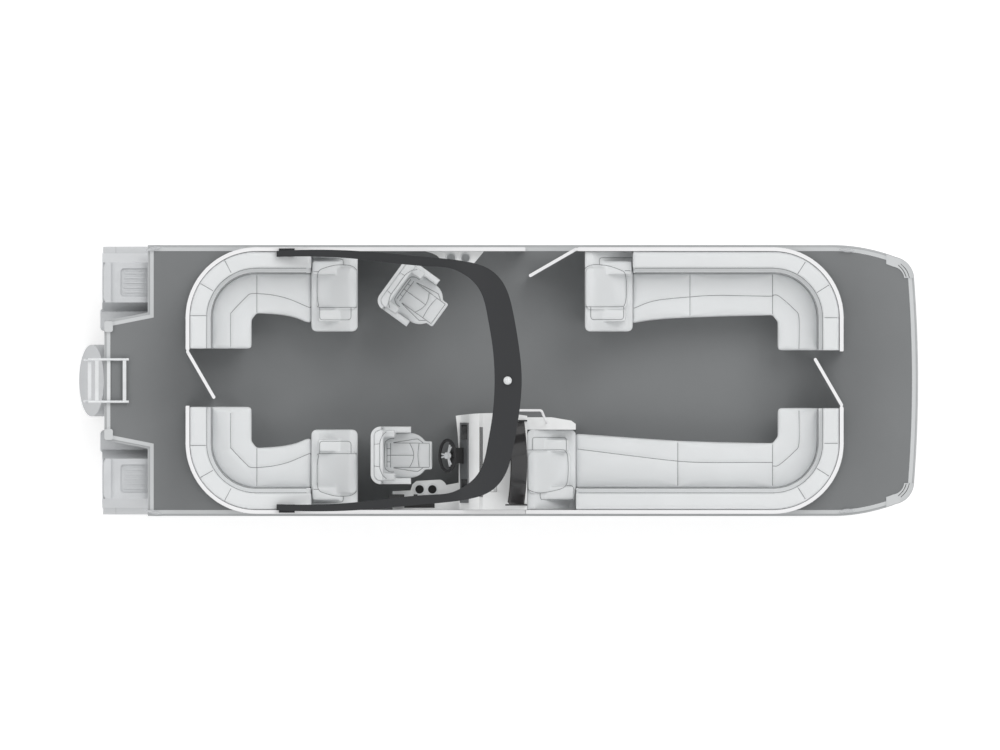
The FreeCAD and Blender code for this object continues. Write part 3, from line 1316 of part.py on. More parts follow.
def side_table():
    """Model the moulded table on the port side, with its swept plan and two cups."""
    face_y = -OUTER_Y
    edge = [
        point(TABLE_AFT_X + TABLE_LENGTH * u, face_y - TABLE_DEPTH * v) for u, v in TABLE_EDGE_SHARES]
    outline = wire(
        point(TABLE_AFT_X, face_y), tuple(edge[:5]), (edge[5],), (edge[6],),
        (point(TABLE_AFT_X + TABLE_LENGTH, face_y),))
    top = prism(outline, DECK_Z + TABLE_HEIGHT - TABLE_LIP, DECK_Z + TABLE_HEIGHT)
    trunk = prism(outline, DECK_Z, DECK_Z + TABLE_HEIGHT - TABLE_LIP)
    trunk = trunk.common(trunk.translated(point(TABLE_TOE, TABLE_TOE))).common(
        trunk.translated(point(-TABLE_TOE, TABLE_TOE)))
    body = fused(top, trunk)
    for x in (TABLE_CUP_X - TABLE_CUP_PITCH / 2, TABLE_CUP_X + TABLE_CUP_PITCH / 2):
        body = body.cut(cup_hole(x, -OUTER_Y - TABLE_CUP_INSET, DECK_Z + TABLE_HEIGHT))
    return body


def make_side_pieces():
    save("side_console", side_console())
    save("throttle", throttle())
    save("side_table", side_table())
    shelf_z = DECK_Z + SIDE_CONSOLE_HEIGHT
    table_z = DECK_Z + TABLE_HEIGHT
    inserts = []
    for side in (-1, 1):
        side_x = SIDE_CUP_X + side * CUP_PITCH / 2
        table_x = TABLE_CUP_X + side * TABLE_CUP_PITCH / 2
        inserts.append(cup_insert(side_x, OUTER_Y + SIDE_CUP_INSET, shelf_z, CUP_RIM_DIAMETER))
        inserts.append(cup_insert(table_x, -OUTER_Y - TABLE_CUP_INSET, table_z, TABLE_CUP_RIM))
    save("cup_holders", *inserts)
    save("steering_wheel", steering_wheel())


# Captain's chairs. Each is drawn facing +X with its swivel axis through the origin.

def chair_plan(aft, fore, half, radius):
    """Draw a seat's plan: square in front and rounded at its two rear corners."""
    return rounded([
        (point(fore, -half), 0), (point(fore, half), 0),
        (point(-aft, half), radius), (point(-aft, -half), radius)])


def chair_seat_plan(inset):
    """Draw the seat's plan, which narrows to its front in two steps of a curve."""
    side = CHAIR_HALF_WIDTH - CHAIR_ARM_WIDTH - inset
    nose = CHAIR_FRONT_HALF_WIDTH - inset
    fore = CHAIR_FRONT - inset
    waist = (CHAIR_ARM_FRONT + fore) / 2
    aft = inset + CHAIR_BACK_WALL - CHAIR_BACK
    bend = point(waist, (side + nose) / 2 + inset)
    knee = point(waist + nose / 4, nose)
    return wire(
        point(aft, -side), (point(CHAIR_ARM_FRONT, -side),),
        (point(bend.x, -bend.y), point(knee.x, -knee.y)), (point(fore, -nose),), (point(fore, nose),),
        (knee,), (bend, point(CHAIR_ARM_FRONT, side)), (point(aft, side),))


def chair_shell():
    """Model the seat's hard shell: pan, sides and the wall that wraps round its back."""
    floor_z = DECK_Z + CHAIR_FLOOR_HEIGHT
    pad_z = floor_z + CHAIR_PAN
    top_z = DECK_Z + CHAIR_TOP_HEIGHT
    side_z = DECK_Z + CHAIR_ARM_HEIGHT - CHAIR_ARM_PAD
    inner_half = CHAIR_HALF_WIDTH - CHAIR_BACK_WALL
    outer = chair_plan(CHAIR_BACK, CHAIR_ARM_FRONT, CHAIR_HALF_WIDTH, CHAIR_BACK_RADIUS)
    inner = chair_plan(
        CHAIR_BACK - CHAIR_BACK_WALL, CHAIR_ARM_FRONT + OVERRUN, inner_half,
        CHAIR_BACK_RADIUS - CHAIR_BACK_WALL)
    walls = prism(outer, floor_z, top_z).cut(prism(inner, floor_z - OVERRUN, top_z + OVERRUN))
    above_sides = wire(
        point(CHAIR_FRONT, 0, side_z), (point(-CHAIR_ARM_START, 0, side_z),),
        (point(CHAIR_BACK_RADIUS - CHAIR_BACK, 0, top_z + OVERRUN),),
        (point(CHAIR_FRONT, 0, top_z + OVERRUN),))
    cutter = Part.Face(above_sides).extrude(point(0, CHAIR_HALF_WIDTH * 3))
    cutter.translate(point(0, -CHAIR_HALF_WIDTH * 3 / 2))
    pan = prism(chair_seat_plan(CHAIR_SEAM), floor_z, pad_z)
    floor = prism(outer, floor_z, floor_z + CHAIR_PAN)
    width, depth, thickness = PEDESTAL_TOP_SIZE
    plate = box(
        point(-width / 2, -depth / 2, floor_z - thickness), point(width / 2, depth / 2, floor_z))
    return fused(walls.cut(cutter), floor, pan, plate)


def chair_cushions():
    """Model the seat and back cushions as one piece, and the two arm pads."""
    pad_z = DECK_Z + CHAIR_FLOOR_HEIGHT + CHAIR_PAN
    seat_z = pad_z + CHAIR_CUSHION
    top_z = DECK_Z + CHAIR_TOP_HEIGHT
    wall = CHAIR_BACK_WALL + FIT
    inside = chair_plan(
        CHAIR_BACK - wall, CHAIR_FRONT + OVERRUN, CHAIR_HALF_WIDTH - wall, CHAIR_BACK_RADIUS - wall)
    room = prism(inside, pad_z, top_z)
    seat = prism(chair_seat_plan(0), pad_z, seat_z).common(room)
    back_x = CHAIR_BACK_WALL + CHAIR_BACK_PAD - CHAIR_BACK
    back = box(point(-CHAIR_BACK, -CHAIR_HALF_WIDTH, seat_z), point(back_x, CHAIR_HALF_WIDTH, top_z))
    back = back.common(room)
    pieces = [fused(seat, back)]
    arm_z = DECK_Z + CHAIR_ARM_HEIGHT
    for side in (-1, 1):
        inner_y = side * (CHAIR_HALF_WIDTH - CHAIR_ARM_WIDTH)
        outer_y = side * CHAIR_HALF_WIDTH
        low = point(back_x + FIT, min(inner_y, outer_y), arm_z - CHAIR_ARM_PAD)
        pieces.append(box(low, point(CHAIR_ARM_FRONT, max(inner_y, outer_y), arm_z)))
    return pieces


def pedestal():
    """Model the fixed column under a chair, up to the swivel."""
    centre = point(0, 0, DECK_Z)
    up = point(0, 0, 1)
    base = cylinder(PEDESTAL_BASE_DIAMETER / 2, centre, centre + up * PEDESTAL_BASE_HEIGHT)
    cone = Part.makeCone(
        PEDESTAL_BASE_DIAMETER / 3, PEDESTAL_DIAMETER / 2, PEDESTAL_DIAMETER / 2,
        centre + up * PEDESTAL_BASE_HEIGHT)
    top = CHAIR_FLOOR_HEIGHT - PEDESTAL_TOP_SIZE[2] - PEDESTAL_GAP
    column = cylinder(PEDESTAL_DIAMETER / 2, centre, centre + up * top)
    return fused(base, cone, column)


def make_chairs():
    helm = point(HELM_CHAIR_X, HELM_CHAIR_INSET - HALF_BEAM)
    port = point(PORT_CHAIR_X, HALF_BEAM - PORT_CHAIR_INSET)
    stand = pedestal()
    save("chair_pedestals", stand.translated(helm), stand.translated(port))
    shell = chair_shell()
    cushions = chair_cushions()
    save("helm_chair_shell", shell.translated(helm))
    save("helm_chair_cushions", *[cushion.translated(helm) for cushion in cushions])
    up = point(0, 0, 1)
    swung = turned(shell, point(0, 0), up, PORT_CHAIR_TURN)
    save("port_chair_shell", swung.translated(port))
    swung = [turned(cushion, point(0, 0), up, PORT_CHAIR_TURN) for cushion in cushions]
    save("port_chair_cushions", *[cushion.translated(port) for cushion in swung])


# Arch

def arch_plan():
    """Draw the arch from above: two long curves that turn across the boat, mirrored about its middle."""
    curves = []
    for shares in (ARCH_OUTER_SHARES, ARCH_INNER_SHARES):
        port = [point(ARCH_FOOT_X + ARCH_LENGTH * x, ARCH_OUTER_Y * y) for x, y in shares]
        starboard = [point(p.x, -p.y) for p in reversed(port[:-1])]
        curves.append(port + starboard)
    outer, inner = curves
    return wire(outer[0], tuple(outer[1:]), (inner[-1],), tuple(reversed(inner[:-1])))


def arch_profile():
    """Draw the arch from the side: a raked blade that flattens into a thin crossing."""
    foot_z = FENCE_TOP_Z + ARCH_FOOT_PLATE
    rise = DECK_Z + ARCH_HEIGHT - foot_z
    upper, lower = [
        [point(ARCH_FOOT_X + ARCH_LENGTH * x, 0, foot_z + rise * z) for x, z in shares]
        for shares in (ARCH_UPPER_SHARES, ARCH_LOWER_SHARES)]
    outline = wire(upper[0], tuple(upper[1:]), (lower[-1],), tuple(reversed(lower[:-1])))
    return Part.Face(outline)


def arch():
    """Model the arch: a blade that sweeps up, turns flat and crosses the boat, on two foot plates."""
    plan = prism(arch_plan(), DECK_Z, DECK_Z + ARCH_HEIGHT + OVERRUN)
    side_view = arch_profile().extrude(point(0, BEAM)).translated(point(0, -HALF_BEAM))
    blade = plan.common(side_view)
    outer_y = FENCE_Y + RAIL_SIZE / 4
    feet = []
    for side in (-1, 1):
        plate_y = sorted((side * (outer_y - ARCH_FOOT_WIDTH), side * outer_y))
        feet.append(box(
            point(ARCH_FOOT_X, plate_y[0], FENCE_TOP_Z),
            point(ARCH_FOOT_X + ARCH_FOOT_LENGTH, plate_y[1], FENCE_TOP_Z + ARCH_FOOT_PLATE)))
    return fused(blade, *feet)


def arch_light(carrier):
    """Model the round light that stands on the middle of the arch."""
    base_z = DECK_Z + ARCH_HEIGHT - ARCH_LIGHT_HEIGHT / 2
    top_z = DECK_Z + ARCH_HEIGHT + ARCH_LIGHT_HEIGHT
    radius = ARCH_LIGHT_DIAMETER / 2
    body = cylinder(radius, point(ARCH_LIGHT_X, 0, base_z), point(ARCH_LIGHT_X, 0, top_z - radius / 2))
    ball = (radius ** 2 + (radius / 2) ** 2) / radius
    dome = Part.makeSphere(ball, point(ARCH_LIGHT_X, 0, top_z - ball)).common(
        cylinder(radius, point(ARCH_LIGHT_X, 0, top_z - radius / 2), point(ARCH_LIGHT_X, 0, top_z)))
    return fused(body, dome).cut(carrier)


def make_arch():
    carrier = arch()
    save("arch", carrier)
    save("arch_light", arch_light(carrier))


# Boarding ladder

def ladder_rails(start, length, z, eye_y, hinge_z):
    """Model both side rails of a ladder section, each with the eye that its hinge pin goes through."""
    radius = LADDER_TUBE / 2
    eye_radius = LADDER_EYE_DIAMETER / 2
    eye_half = LADDER_EYE_THICKNESS / 2
    web = math.copysign(radius, z - hinge_z)
    pieces = []
    for side in (-1, 1):
        rail_y = side * LADDER_HALF_WIDTH
        tube_start = LADDER_HINGE_X + LADDER_SETBACK
        tube_end = LADDER_HINGE_X + length
        pieces.append(cylinder(radius, point(tube_start, rail_y, z), point(tube_end, rail_y, z)))
        y = side * eye_y
        pieces.append(cylinder(
            eye_radius, point(start, y - eye_half, hinge_z), point(start, y + eye_half, hinge_z)))
        heights = sorted((hinge_z, z + web / 2))
        pieces.append(box(
            point(start, y - eye_half, heights[0]), point(tube_start + radius, y + eye_half, heights[1])))
    return pieces


def tread(x, z):
    """Model one tread between the two rails, level with their centre."""
    half = LADDER_HALF_WIDTH
    return box(
        point(x - LADDER_TREAD_WIDTH / 2, -half, z - LADDER_TREAD_THICKNESS / 2),
        point(x + LADDER_TREAD_WIDTH / 2, half, z + LADDER_TREAD_THICKNESS / 2))


def make_ladder():
    radius = LADDER_TUBE / 2
    low_z = DECK_Z + radius
    hinge_z = DECK_Z + LADDER_TUBE + LADDER_GAP / 2
    high_z = hinge_z + LADDER_GAP / 2 + radius
    bore = LADDER_PIN_DIAMETER / 2 + FIT
    inner_eye = LADDER_HALF_WIDTH - LADDER_EYE_THICKNESS - FIT
    fixed = ladder_rails(LADDER_HINGE_X, LADDER_FIXED_LENGTH, low_z, LADDER_HALF_WIDTH, hinge_z)
    for share in LADDER_FIXED_TREAD_SHARES:
        fixed.append(tread(LADDER_HINGE_X + LADDER_LENGTH * share, low_z))
    fold = ladder_rails(LADDER_HINGE_X, LADDER_LENGTH, high_z, inner_eye, hinge_z)
    for share in LADDER_FOLD_TREAD_SHARES:
        fold.append(tread(LADDER_HINGE_X + LADDER_LENGTH * share, high_z))
    fixed_body = fused(*fixed)
    fold_body = fused(*fold)
    reach = LADDER_HALF_WIDTH + LADDER_EYE_THICKNESS
    for side in (-1, 1):
        start = point(LADDER_HINGE_X, side * (inner_eye - LADDER_EYE_THICKNESS), hinge_z)
        end = point(LADDER_HINGE_X, side * reach, hinge_z)
        fold_body = fold_body.cut(cylinder(bore, start, end))
        fixed_body = fixed_body.fuse(cylinder(LADDER_PIN_DIAMETER / 2, start, end))
    save("ladder_frame", fixed_body.removeSplitter())
    save("ladder_fold", fold_body)


# Cleats and corner caps

def cleat():
    """Model a cleat along X: a flat base, two feet and a horn bar with tapered ends."""
    half = CLEAT_LENGTH / 2
    width = CLEAT_WIDTH / 2
    base = prism(wire(
        point(-half, 0), (point(0, -CLEAT_WIDTH), point(half, 0)), (point(0, CLEAT_WIDTH), point(-half, 0))),
        0, HINGE_PLATE)
    pieces = [base]
    for side in (-1, 1):
        centre = point(side * CLEAT_FOOT, 0)
        pieces.append(cylinder(width / 2, centre, centre + point(0, 0, CLEAT_HEIGHT - CLEAT_HORN / 2)))
    horn = wire(
        point(-half, 0, CLEAT_HEIGHT), (point(0, 0, CLEAT_HEIGHT - CLEAT_HORN), point(half, 0, CLEAT_HEIGHT)),
        (point(0, 0, CLEAT_HEIGHT - FIT), point(-half, 0, CLEAT_HEIGHT)))
    bar = Part.Face(horn).extrude(point(0, CLEAT_WIDTH / 2))
    bar.translate(point(0, -CLEAT_WIDTH / 4))
    pieces.append(bar)
    return fused(*pieces)


def make_cleats():
    stock = cleat()
    pieces = []
    for x, inset, angle in (
            (NOTCH_X + CLEAT_STERN_SETBACK, CLEAT_INSET, CLEAT_STERN_ANGLE),
            (BOW_X - CLEAT_BOW_SETBACK, CLEAT_BOW_INSET, -CLEAT_BOW_ANGLE)):
        placed = turned(stock, point(0, 0), point(0, 0, 1), angle)
        pieces.extend(both_sides(placed.translated(point(x, HALF_BEAM - inset, DECK_Z))))
    save("cleats", *pieces)


def bow_cap():
    """Model the port bow corner's cover, with raised ribs that follow the corner."""
    top = DECK_Z + CAP_THICKNESS
    length, width = CAP_REACH
    low = point(BOW_X - length, HALF_BEAM - width, DECK_Z - OVERRUN)
    zone = box(low, point(BOW_X, HALF_BEAM, top + CAP_THICKNESS))
    cover = ring(CAP_RIB, CAP_RIB + CAP_WIDTH, DECK_Z, top).common(zone)
    rib_zone = box(
        point(BOW_X - length * CAP_RIB_SHARE, HALF_BEAM - width, DECK_Z),
        point(BOW_X, HALF_BEAM, top + CAP_THICKNESS))
    pieces = [cover]
    for share in CAP_RIB_SHARES:
        inset = CAP_RIB + CAP_WIDTH * share
        pieces.append(ring(inset, inset + CAP_RIB, DECK_Z, top + CAP_RIB).common(rib_zone))
    return fused(*pieces)


def swim_post():
    """Model the rounded cap on the port corner of the swim deck."""
    length, width, height = POST_CAP_SIZE
    aft_x = DECK_AFT_X
    side_y = SWIM_HALF_WIDTH - POST_CAP_INSET
    radius = min(length, width) / 4
    return prism(rounded([
        (point(aft_x, side_y - width), radius), (point(aft_x + length, side_y - width), radius),
        (point(aft_x + length, side_y), radius), (point(aft_x, side_y), radius),
    ]), DECK_Z, DECK_Z + height)


def make_corner_caps():
    save("corner_caps", *both_sides(bow_cap()), *both_sides(swim_post()))


make_tubes()
make_motor_pods()
make_risers()
make_cross_members()
make_deck()
make_fence()
make_gates()
make_lounges()
make_console()
make_side_pieces()
make_chairs()
make_arch()
make_ladder()
make_cleats()
make_corner_caps()
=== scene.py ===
"""Dress the pontoon boat: sewn cushions over the fixed frame, a finish on every piece, light and camera."""

import logging
import math
from dataclasses import dataclass, field
from enum import Enum
from typing import Any, Iterator, Optional, Sequence, Union

import bmesh
import bpy
import numpy as np
from mathutils import Matrix, Vector
from mathutils.bvhtree import BVHTree


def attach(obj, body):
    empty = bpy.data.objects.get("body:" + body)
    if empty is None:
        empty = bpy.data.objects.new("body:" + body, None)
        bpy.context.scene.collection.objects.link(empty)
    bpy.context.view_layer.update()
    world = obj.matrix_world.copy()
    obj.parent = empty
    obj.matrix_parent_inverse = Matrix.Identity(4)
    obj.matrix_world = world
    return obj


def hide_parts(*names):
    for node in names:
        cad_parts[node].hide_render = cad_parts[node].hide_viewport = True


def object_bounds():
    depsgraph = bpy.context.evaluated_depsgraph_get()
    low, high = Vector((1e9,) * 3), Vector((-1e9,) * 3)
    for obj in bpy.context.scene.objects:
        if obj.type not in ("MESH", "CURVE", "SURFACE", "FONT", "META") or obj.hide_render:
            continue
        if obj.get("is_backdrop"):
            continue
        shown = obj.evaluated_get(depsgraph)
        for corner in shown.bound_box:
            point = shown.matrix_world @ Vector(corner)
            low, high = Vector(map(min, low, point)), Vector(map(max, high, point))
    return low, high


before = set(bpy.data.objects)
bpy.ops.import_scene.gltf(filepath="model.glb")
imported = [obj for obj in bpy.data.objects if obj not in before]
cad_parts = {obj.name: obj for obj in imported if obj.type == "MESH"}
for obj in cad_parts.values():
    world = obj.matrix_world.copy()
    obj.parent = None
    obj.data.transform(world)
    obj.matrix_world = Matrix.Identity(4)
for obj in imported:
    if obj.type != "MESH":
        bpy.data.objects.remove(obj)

log = logging.getLogger("boat")
Place = tuple[float, float]
Colour = tuple[float, float, float]

# Metres to a pixel of the drawing, and the pixel that lies over the middle of the boat.
PIXEL = 0.00956
PIXEL_X = 498.6
PIXEL_Y = 380.5
# The curve between display colours and linear light.
SRGB_KNEE = 0.04045
SRGB_SLOPE = 12.92
SRGB_OFFSET = 0.055
SRGB_POWER = 2.4
WHITE = (1.0, 1.0, 1.0, 1.0)
# A height over the whole boat, a distance longer than it, and two numbers that count as nothing.
OVERHEAD = 4.0
FAR = 9.0
TINY = 1e-9
STEEP = 0.01
# Where the fence crosses the deck at the stern and at the bow.
AFT_FENCE = -2.973
BOW_FENCE = 3.278


def plan(across: float, down: float) -> Place:
    """Turn a place in the drawing into metres in the boat's plan.

    Args:
        across: Pixels from the drawing's left edge.
        down: Pixels from its top edge.

    Returns:
        The place along and across the boat.
    """
    return (across - PIXEL_X) * PIXEL, (PIXEL_Y - down) * PIXEL


def tone(code: str) -> Colour:
    """Turn a display colour such as C4C6C8 into the linear light that materials use."""
    values = [int(code[start:start + 2], 16) / 255 for start in (0, 2, 4)]
    return tuple(
        v / SRGB_SLOPE if v < SRGB_KNEE else ((v + SRGB_OFFSET) / (1 + SRGB_OFFSET)) ** SRGB_POWER
        for v in values)


def scaled(colour: Colour, share: float) -> Colour:
    """Give a colour with its brightness multiplied by a share."""
    return tuple(channel * share for channel in colour)


class Signal:
    """A number socket of a material that ordinary arithmetic works on."""

    def __init__(self, graph: "Graph", socket: bpy.types.NodeSocket) -> None:
        """Keep the graph that new nodes go into and the socket that gives the number."""
        self.graph = graph
        self.socket = socket

    def _math(self, operation: str, *values: "Operand") -> "Signal":
        """Add one Math node whose inputs are the given values, in order."""
        inputs = {index: value for index, value in enumerate(values)}
        made = self.graph.node("ShaderNodeMath", {"operation": operation}, inputs)
        return Signal(self.graph, made.outputs[0])

    def __add__(self, other: "Operand") -> "Signal":
        """Give the sum."""
        return self._math("ADD", self, other)

    def __sub__(self, other: "Operand") -> "Signal":
        """Give the difference."""
        return self._math("SUBTRACT", self, other)

    def __rsub__(self, other: "Operand") -> "Signal":
        """Give the difference from a plain number."""
        return self._math("SUBTRACT", other, self)

    def __mul__(self, other: "Operand") -> "Signal":
        """Give the product."""
        return self._math("MULTIPLY", self, other)

    def __truediv__(self, other: "Operand") -> "Signal":
        """Give the quotient."""
        return self._math("DIVIDE", self, other)

    def __pow__(self, other: "Operand") -> "Signal":
        """Give the power."""
        return self._math("POWER", self, other)

    __radd__ = __add__

    def wrap(self, length: float) -> "Signal":
        """Give the distance from the nearest multiple of a length."""
        return self._math("PINGPONG", self, length / 2)

    def ramp(self, low: float, high: float) -> "Signal":
        """Rise from 0 at the low value to 1 at the high one, smoothly and no further."""
        settings = {"interpolation_type": "SMOOTHSTEP"}
        made = self.graph.node("ShaderNodeMapRange", settings, {0: self, 1: low, 2: high})
        return Signal(self.graph, made.outputs[0])


Operand = Union[Signal, float]


class Graph:
    """The nodes of one material, from its Principled shader outwards."""

    def __init__(self, name: str) -> None:
        """Make an empty material with a Principled shader on its output."""
        self.material = bpy.data.materials.new(name)
        self.material.use_nodes = True
        self.tree = self.material.node_tree
        self.tree.nodes.clear()
        self.shader = self.node("ShaderNodeBsdfPrincipled")
        self.node("ShaderNodeOutputMaterial", None, {"Surface": self.shader.outputs[0]})
        self.place = self.node("ShaderNodeTexCoord").outputs["Object"]

    def node(self, kind: str, settings: Optional[dict[str, Any]] = None,
             inputs: Optional[dict[Union[int, str], Any]] = None) -> bpy.types.Node:
        """Add a node.

        Args:
            kind: The node's type.
            settings: Its own options, which are set first.
            inputs: A value or a link for each of its sockets that needs one.

        Returns:
            The node.
        """
        made = self.tree.nodes.new(kind)
        for key, value in (settings or {}).items():
            setattr(made, key, value)
        for key, value in (inputs or {}).items():
            value = value.socket if isinstance(value, Signal) else value
            if isinstance(value, bpy.types.NodeSocket):
                self.tree.links.new(value, made.inputs[key])
            else:
                made.inputs[key].default_value = value
        return made

    def axes(self) -> list[Signal]:
        """Give the place along, across and up the boat."""
        made = self.node("ShaderNodeSeparateXYZ", None, {0: self.place})
        return [Signal(self, socket) for socket in made.outputs]

    def noise(self, scale: float, detail: float = 2.0, stretch: Sequence[float] = (1, 1, 1)) -> Signal:
        """Give a soft random pattern, with so many features to a metre, stretched along the axes."""
        mapped = self.node("ShaderNodeMapping", None, {"Vector": self.place, "Scale": tuple(stretch)})
        inputs = {"Vector": mapped.outputs[0], "Scale": scale, "Detail": detail}
        return Signal(self, self.node("ShaderNodeTexNoise", None, inputs).outputs[0])

    def cells(self, scale: float) -> Signal:
        """Give the distance from the middle of the nearest cell of a pebbled grain."""
        inputs = {"Vector": self.place, "Scale": scale}
        return Signal(self, self.node("ShaderNodeTexVoronoi", None, inputs).outputs[0])

    def blend(self, share: Operand, first: Any, second: Any) -> bpy.types.NodeSocket:
        """Mix two colours by a share."""
        inputs = {0: share, 6: _opaque(first), 7: _opaque(second)}
        return self.node("ShaderNodeMix", {"data_type": "RGBA"}, inputs).outputs[2]

    def distance(self, centre: Sequence[float]) -> Signal:
        """Give the distance from a point."""
        made = self.node("ShaderNodeVectorMath", {"operation": "DISTANCE"}, {0: self.place, 1: tuple(centre)})
        return Signal(self, made.outputs["Value"])

    def set(self, **values: Any) -> None:
        """Set or link sockets of the shader, named with underscores for their spaces."""
        for key, value in values.items():
            socket = self.shader.inputs[key.replace("_", " ")]
            value = value.socket if isinstance(value, Signal) else value
            if isinstance(value, bpy.types.NodeSocket):
                self.tree.links.new(value, socket)
            else:
                socket.default_value = value

    def emboss(self, height: Signal, depth: float) -> None:
        """Raise the surface by the height, by up to a depth in metres."""
        made = self.node("ShaderNodeBump", None, {"Strength": 1.0, "Distance": depth, "Height": height})
        self.set(Normal=made.outputs[0])


def _opaque(colour: Any) -> Any:
    """Add the fourth channel to a plain colour and pass a socket on as it is."""
    return (*colour, 1.0) if isinstance(colour, tuple) and len(colour) == 3 else colour


class Grain(Enum):
    """How a finish breaks up its surface."""

    VINYL = "vinyl"
    WEAVE = "weave"
    BRUSHED = "brushed"
    POWDER = "powder"
    GELCOAT = "gelcoat"
    PEBBLE = "pebble"
    GLASS = "glass"


@dataclass(frozen=True)
class Finish:
    """One finish.

    Attributes:
        name: The material's name.
        colour: Its display colour.
        grain: How its surface is broken up.
        rough: Its roughness, which the grain varies.
        metal: How metallic it is, from 0 to 1.
        coat: How much clear coat lies over it, from 0 to 1.
        alpha: How opaque it is, from 0 to 1.
        seams_every: The distance between welds along the boat, or 0 for none.
        shine: The strength of its mirror reflection, where 0.5 is usual.
    """

    name: str
    colour: str
    grain: Grain
    rough: float = 0.5
    metal: float = 0.0
    coat: float = 0.0
    alpha: float = 1.0
    seams_every: float = 0.0
    shine: float = 0.5

    YARN_PITCH = 0.006
    WELD_EDGES = (0.003, 0.008)
    COAT_ROUGHNESS = 0.06

    def material(self) -> bpy.types.Material:
        """Build the material and give it back."""
        graph = Graph(self.name)
        base = tone(self.colour)
        graph.set(Metallic=self.metal, Coat_Weight=self.coat, Coat_Roughness=self.COAT_ROUGHNESS,
                  Specular_IOR_Level=self.shine)
        getattr(self, "_" + self.grain.value)(graph, base)
        if self.alpha < 1:
            graph.set(Alpha=self.alpha)
        return graph.material

    def _shade(self, graph: Graph, base: Colour, pattern: Operand, spread: float) -> bpy.types.NodeSocket:
        """Vary the colour by a spread about its own value as a pattern goes from 0 to 1."""
        light = tuple(min(1.0, channel) for channel in scaled(base, 1 + spread))
        return graph.blend(pattern, scaled(base, 1 - spread), light)

    def _gloss(self, pattern: Signal, spread: float, below: float) -> Signal:
        """Let the roughness rise over a spread, from a step below the finish's own."""
        return pattern * spread + (self.rough - below)

    def _vinyl(self, graph: Graph, base: Colour) -> None:
        """Dress marine vinyl: a fine leather grain with slow tone changes."""
        grain = graph.cells(scale=520.0)
        broad = graph.noise(scale=3.0, detail=3.0)
        fine = graph.noise(scale=160.0)
        colour = self._shade(graph, base, broad * 0.7 + grain * 0.5, spread=0.055)
        graph.set(Base_Color=colour, Roughness=self._gloss(fine, spread=0.16, below=0.08))
        graph.set(Sheen_Weight=0.12, Sheen_Roughness=0.4)
        graph.emboss(grain * 0.7 + fine * 0.3, depth=0.0006)

    def _weave(self, graph: Graph, base: Colour) -> None:
        """Dress woven deck vinyl: crossed yarns a few millimetres apart, flecked and slightly worn."""
        along, across, _ = graph.axes()
        warp = along.wrap(self.YARN_PITCH) / (self.YARN_PITCH / 2)
        weft = across.wrap(self.YARN_PITCH) / (self.YARN_PITCH / 2)
        yarns = warp * (1 - weft) + weft * (1 - warp)
        fleck = graph.noise(scale=420.0, detail=4.0)
        broad = graph.noise(scale=2.2, detail=4.0)
        colour = self._shade(graph, base, yarns * 0.35 + fleck * 0.45 + broad * 0.2, spread=0.16)
        graph.set(Base_Color=colour, Roughness=self._gloss(fleck, spread=0.2, below=0.1))
        graph.emboss(yarns * 0.7 + fleck * 0.3, depth=0.0010)

    def _brushed(self, graph: Graph, base: Colour) -> None:
        """Dress mill-finish sheet: fine lines along the boat, a mottled bloom and, where asked for, welds."""
        lines = graph.noise(scale=60.0, detail=3.0, stretch=(0.4, 9.0, 9.0))
        bloom = graph.noise(scale=7.0, detail=4.0)
        height = lines * 0.4
        colour = self._shade(graph, base, lines * 0.4 + bloom * 0.6, spread=0.09)
        if self.seams_every:
            along = graph.axes()[0]
            weld = 1 - along.wrap(self.seams_every).ramp(*self.WELD_EDGES)
            ripple = graph.noise(scale=90.0, detail=1.0)
            height = height + weld * (ripple * 0.8 + 0.6)
            colour = graph.blend(weld * 0.5, colour, scaled(base, 0.72))
        roughness = self._gloss(lines * 0.6 + bloom * 0.4, spread=0.30, below=0.15)
        graph.set(Base_Color=colour, Roughness=roughness)
        graph.emboss(height, depth=0.0012)

    def _powder(self, graph: Graph, base: Colour) -> None:
        """Dress powder coat: a faint orange peel over slow tone changes."""
        peel = graph.noise(scale=260.0)
        broad = graph.noise(scale=4.0, detail=3.0)
        graph.set(Base_Color=self._shade(graph, base, broad * 0.7 + peel * 0.3, spread=0.035),
                  Roughness=self._gloss(peel, spread=0.12, below=0.06))
        graph.emboss(peel, depth=0.0004)

    def _gelcoat(self, graph: Graph, base: Colour) -> None:
        """Dress gelcoat: glassy, with slow waves of the mould and fine polishing haze."""
        wave = graph.noise(scale=9.0)
        haze = graph.noise(scale=130.0, detail=3.0)
        graph.set(Base_Color=self._shade(graph, base, wave, spread=0.03),
                  Roughness=self._gloss(haze, spread=0.12, below=0.05))
        graph.emboss(wave * 0.6 + haze * 0.1, depth=0.0010)

    def _pebble(self, graph: Graph, base: Colour) -> None:
        """Dress moulded plastic or rubber: a pebbled grain with paler, duller worn patches."""
        grain = graph.cells(scale=330.0)
        worn = graph.noise(scale=11.0, detail=4.0)
        graph.set(Base_Color=self._shade(graph, base, worn * 0.6 + grain * 0.6, spread=0.10),
                  Roughness=self._gloss(worn, spread=0.18, below=0.09))
        graph.emboss(grain, depth=0.0006)

    def _glass(self, graph: Graph, base: Colour) -> None:
        """Dress tinted sheet: smooth, with long smears that are paler and duller."""
        smear = graph.noise(scale=6.0, detail=4.0, stretch=(1.0, 3.0, 1.0))
        graph.set(Base_Color=self._shade(graph, base, smear, spread=0.12),
                  Roughness=self._gloss(smear, spread=0.10, below=0.0))


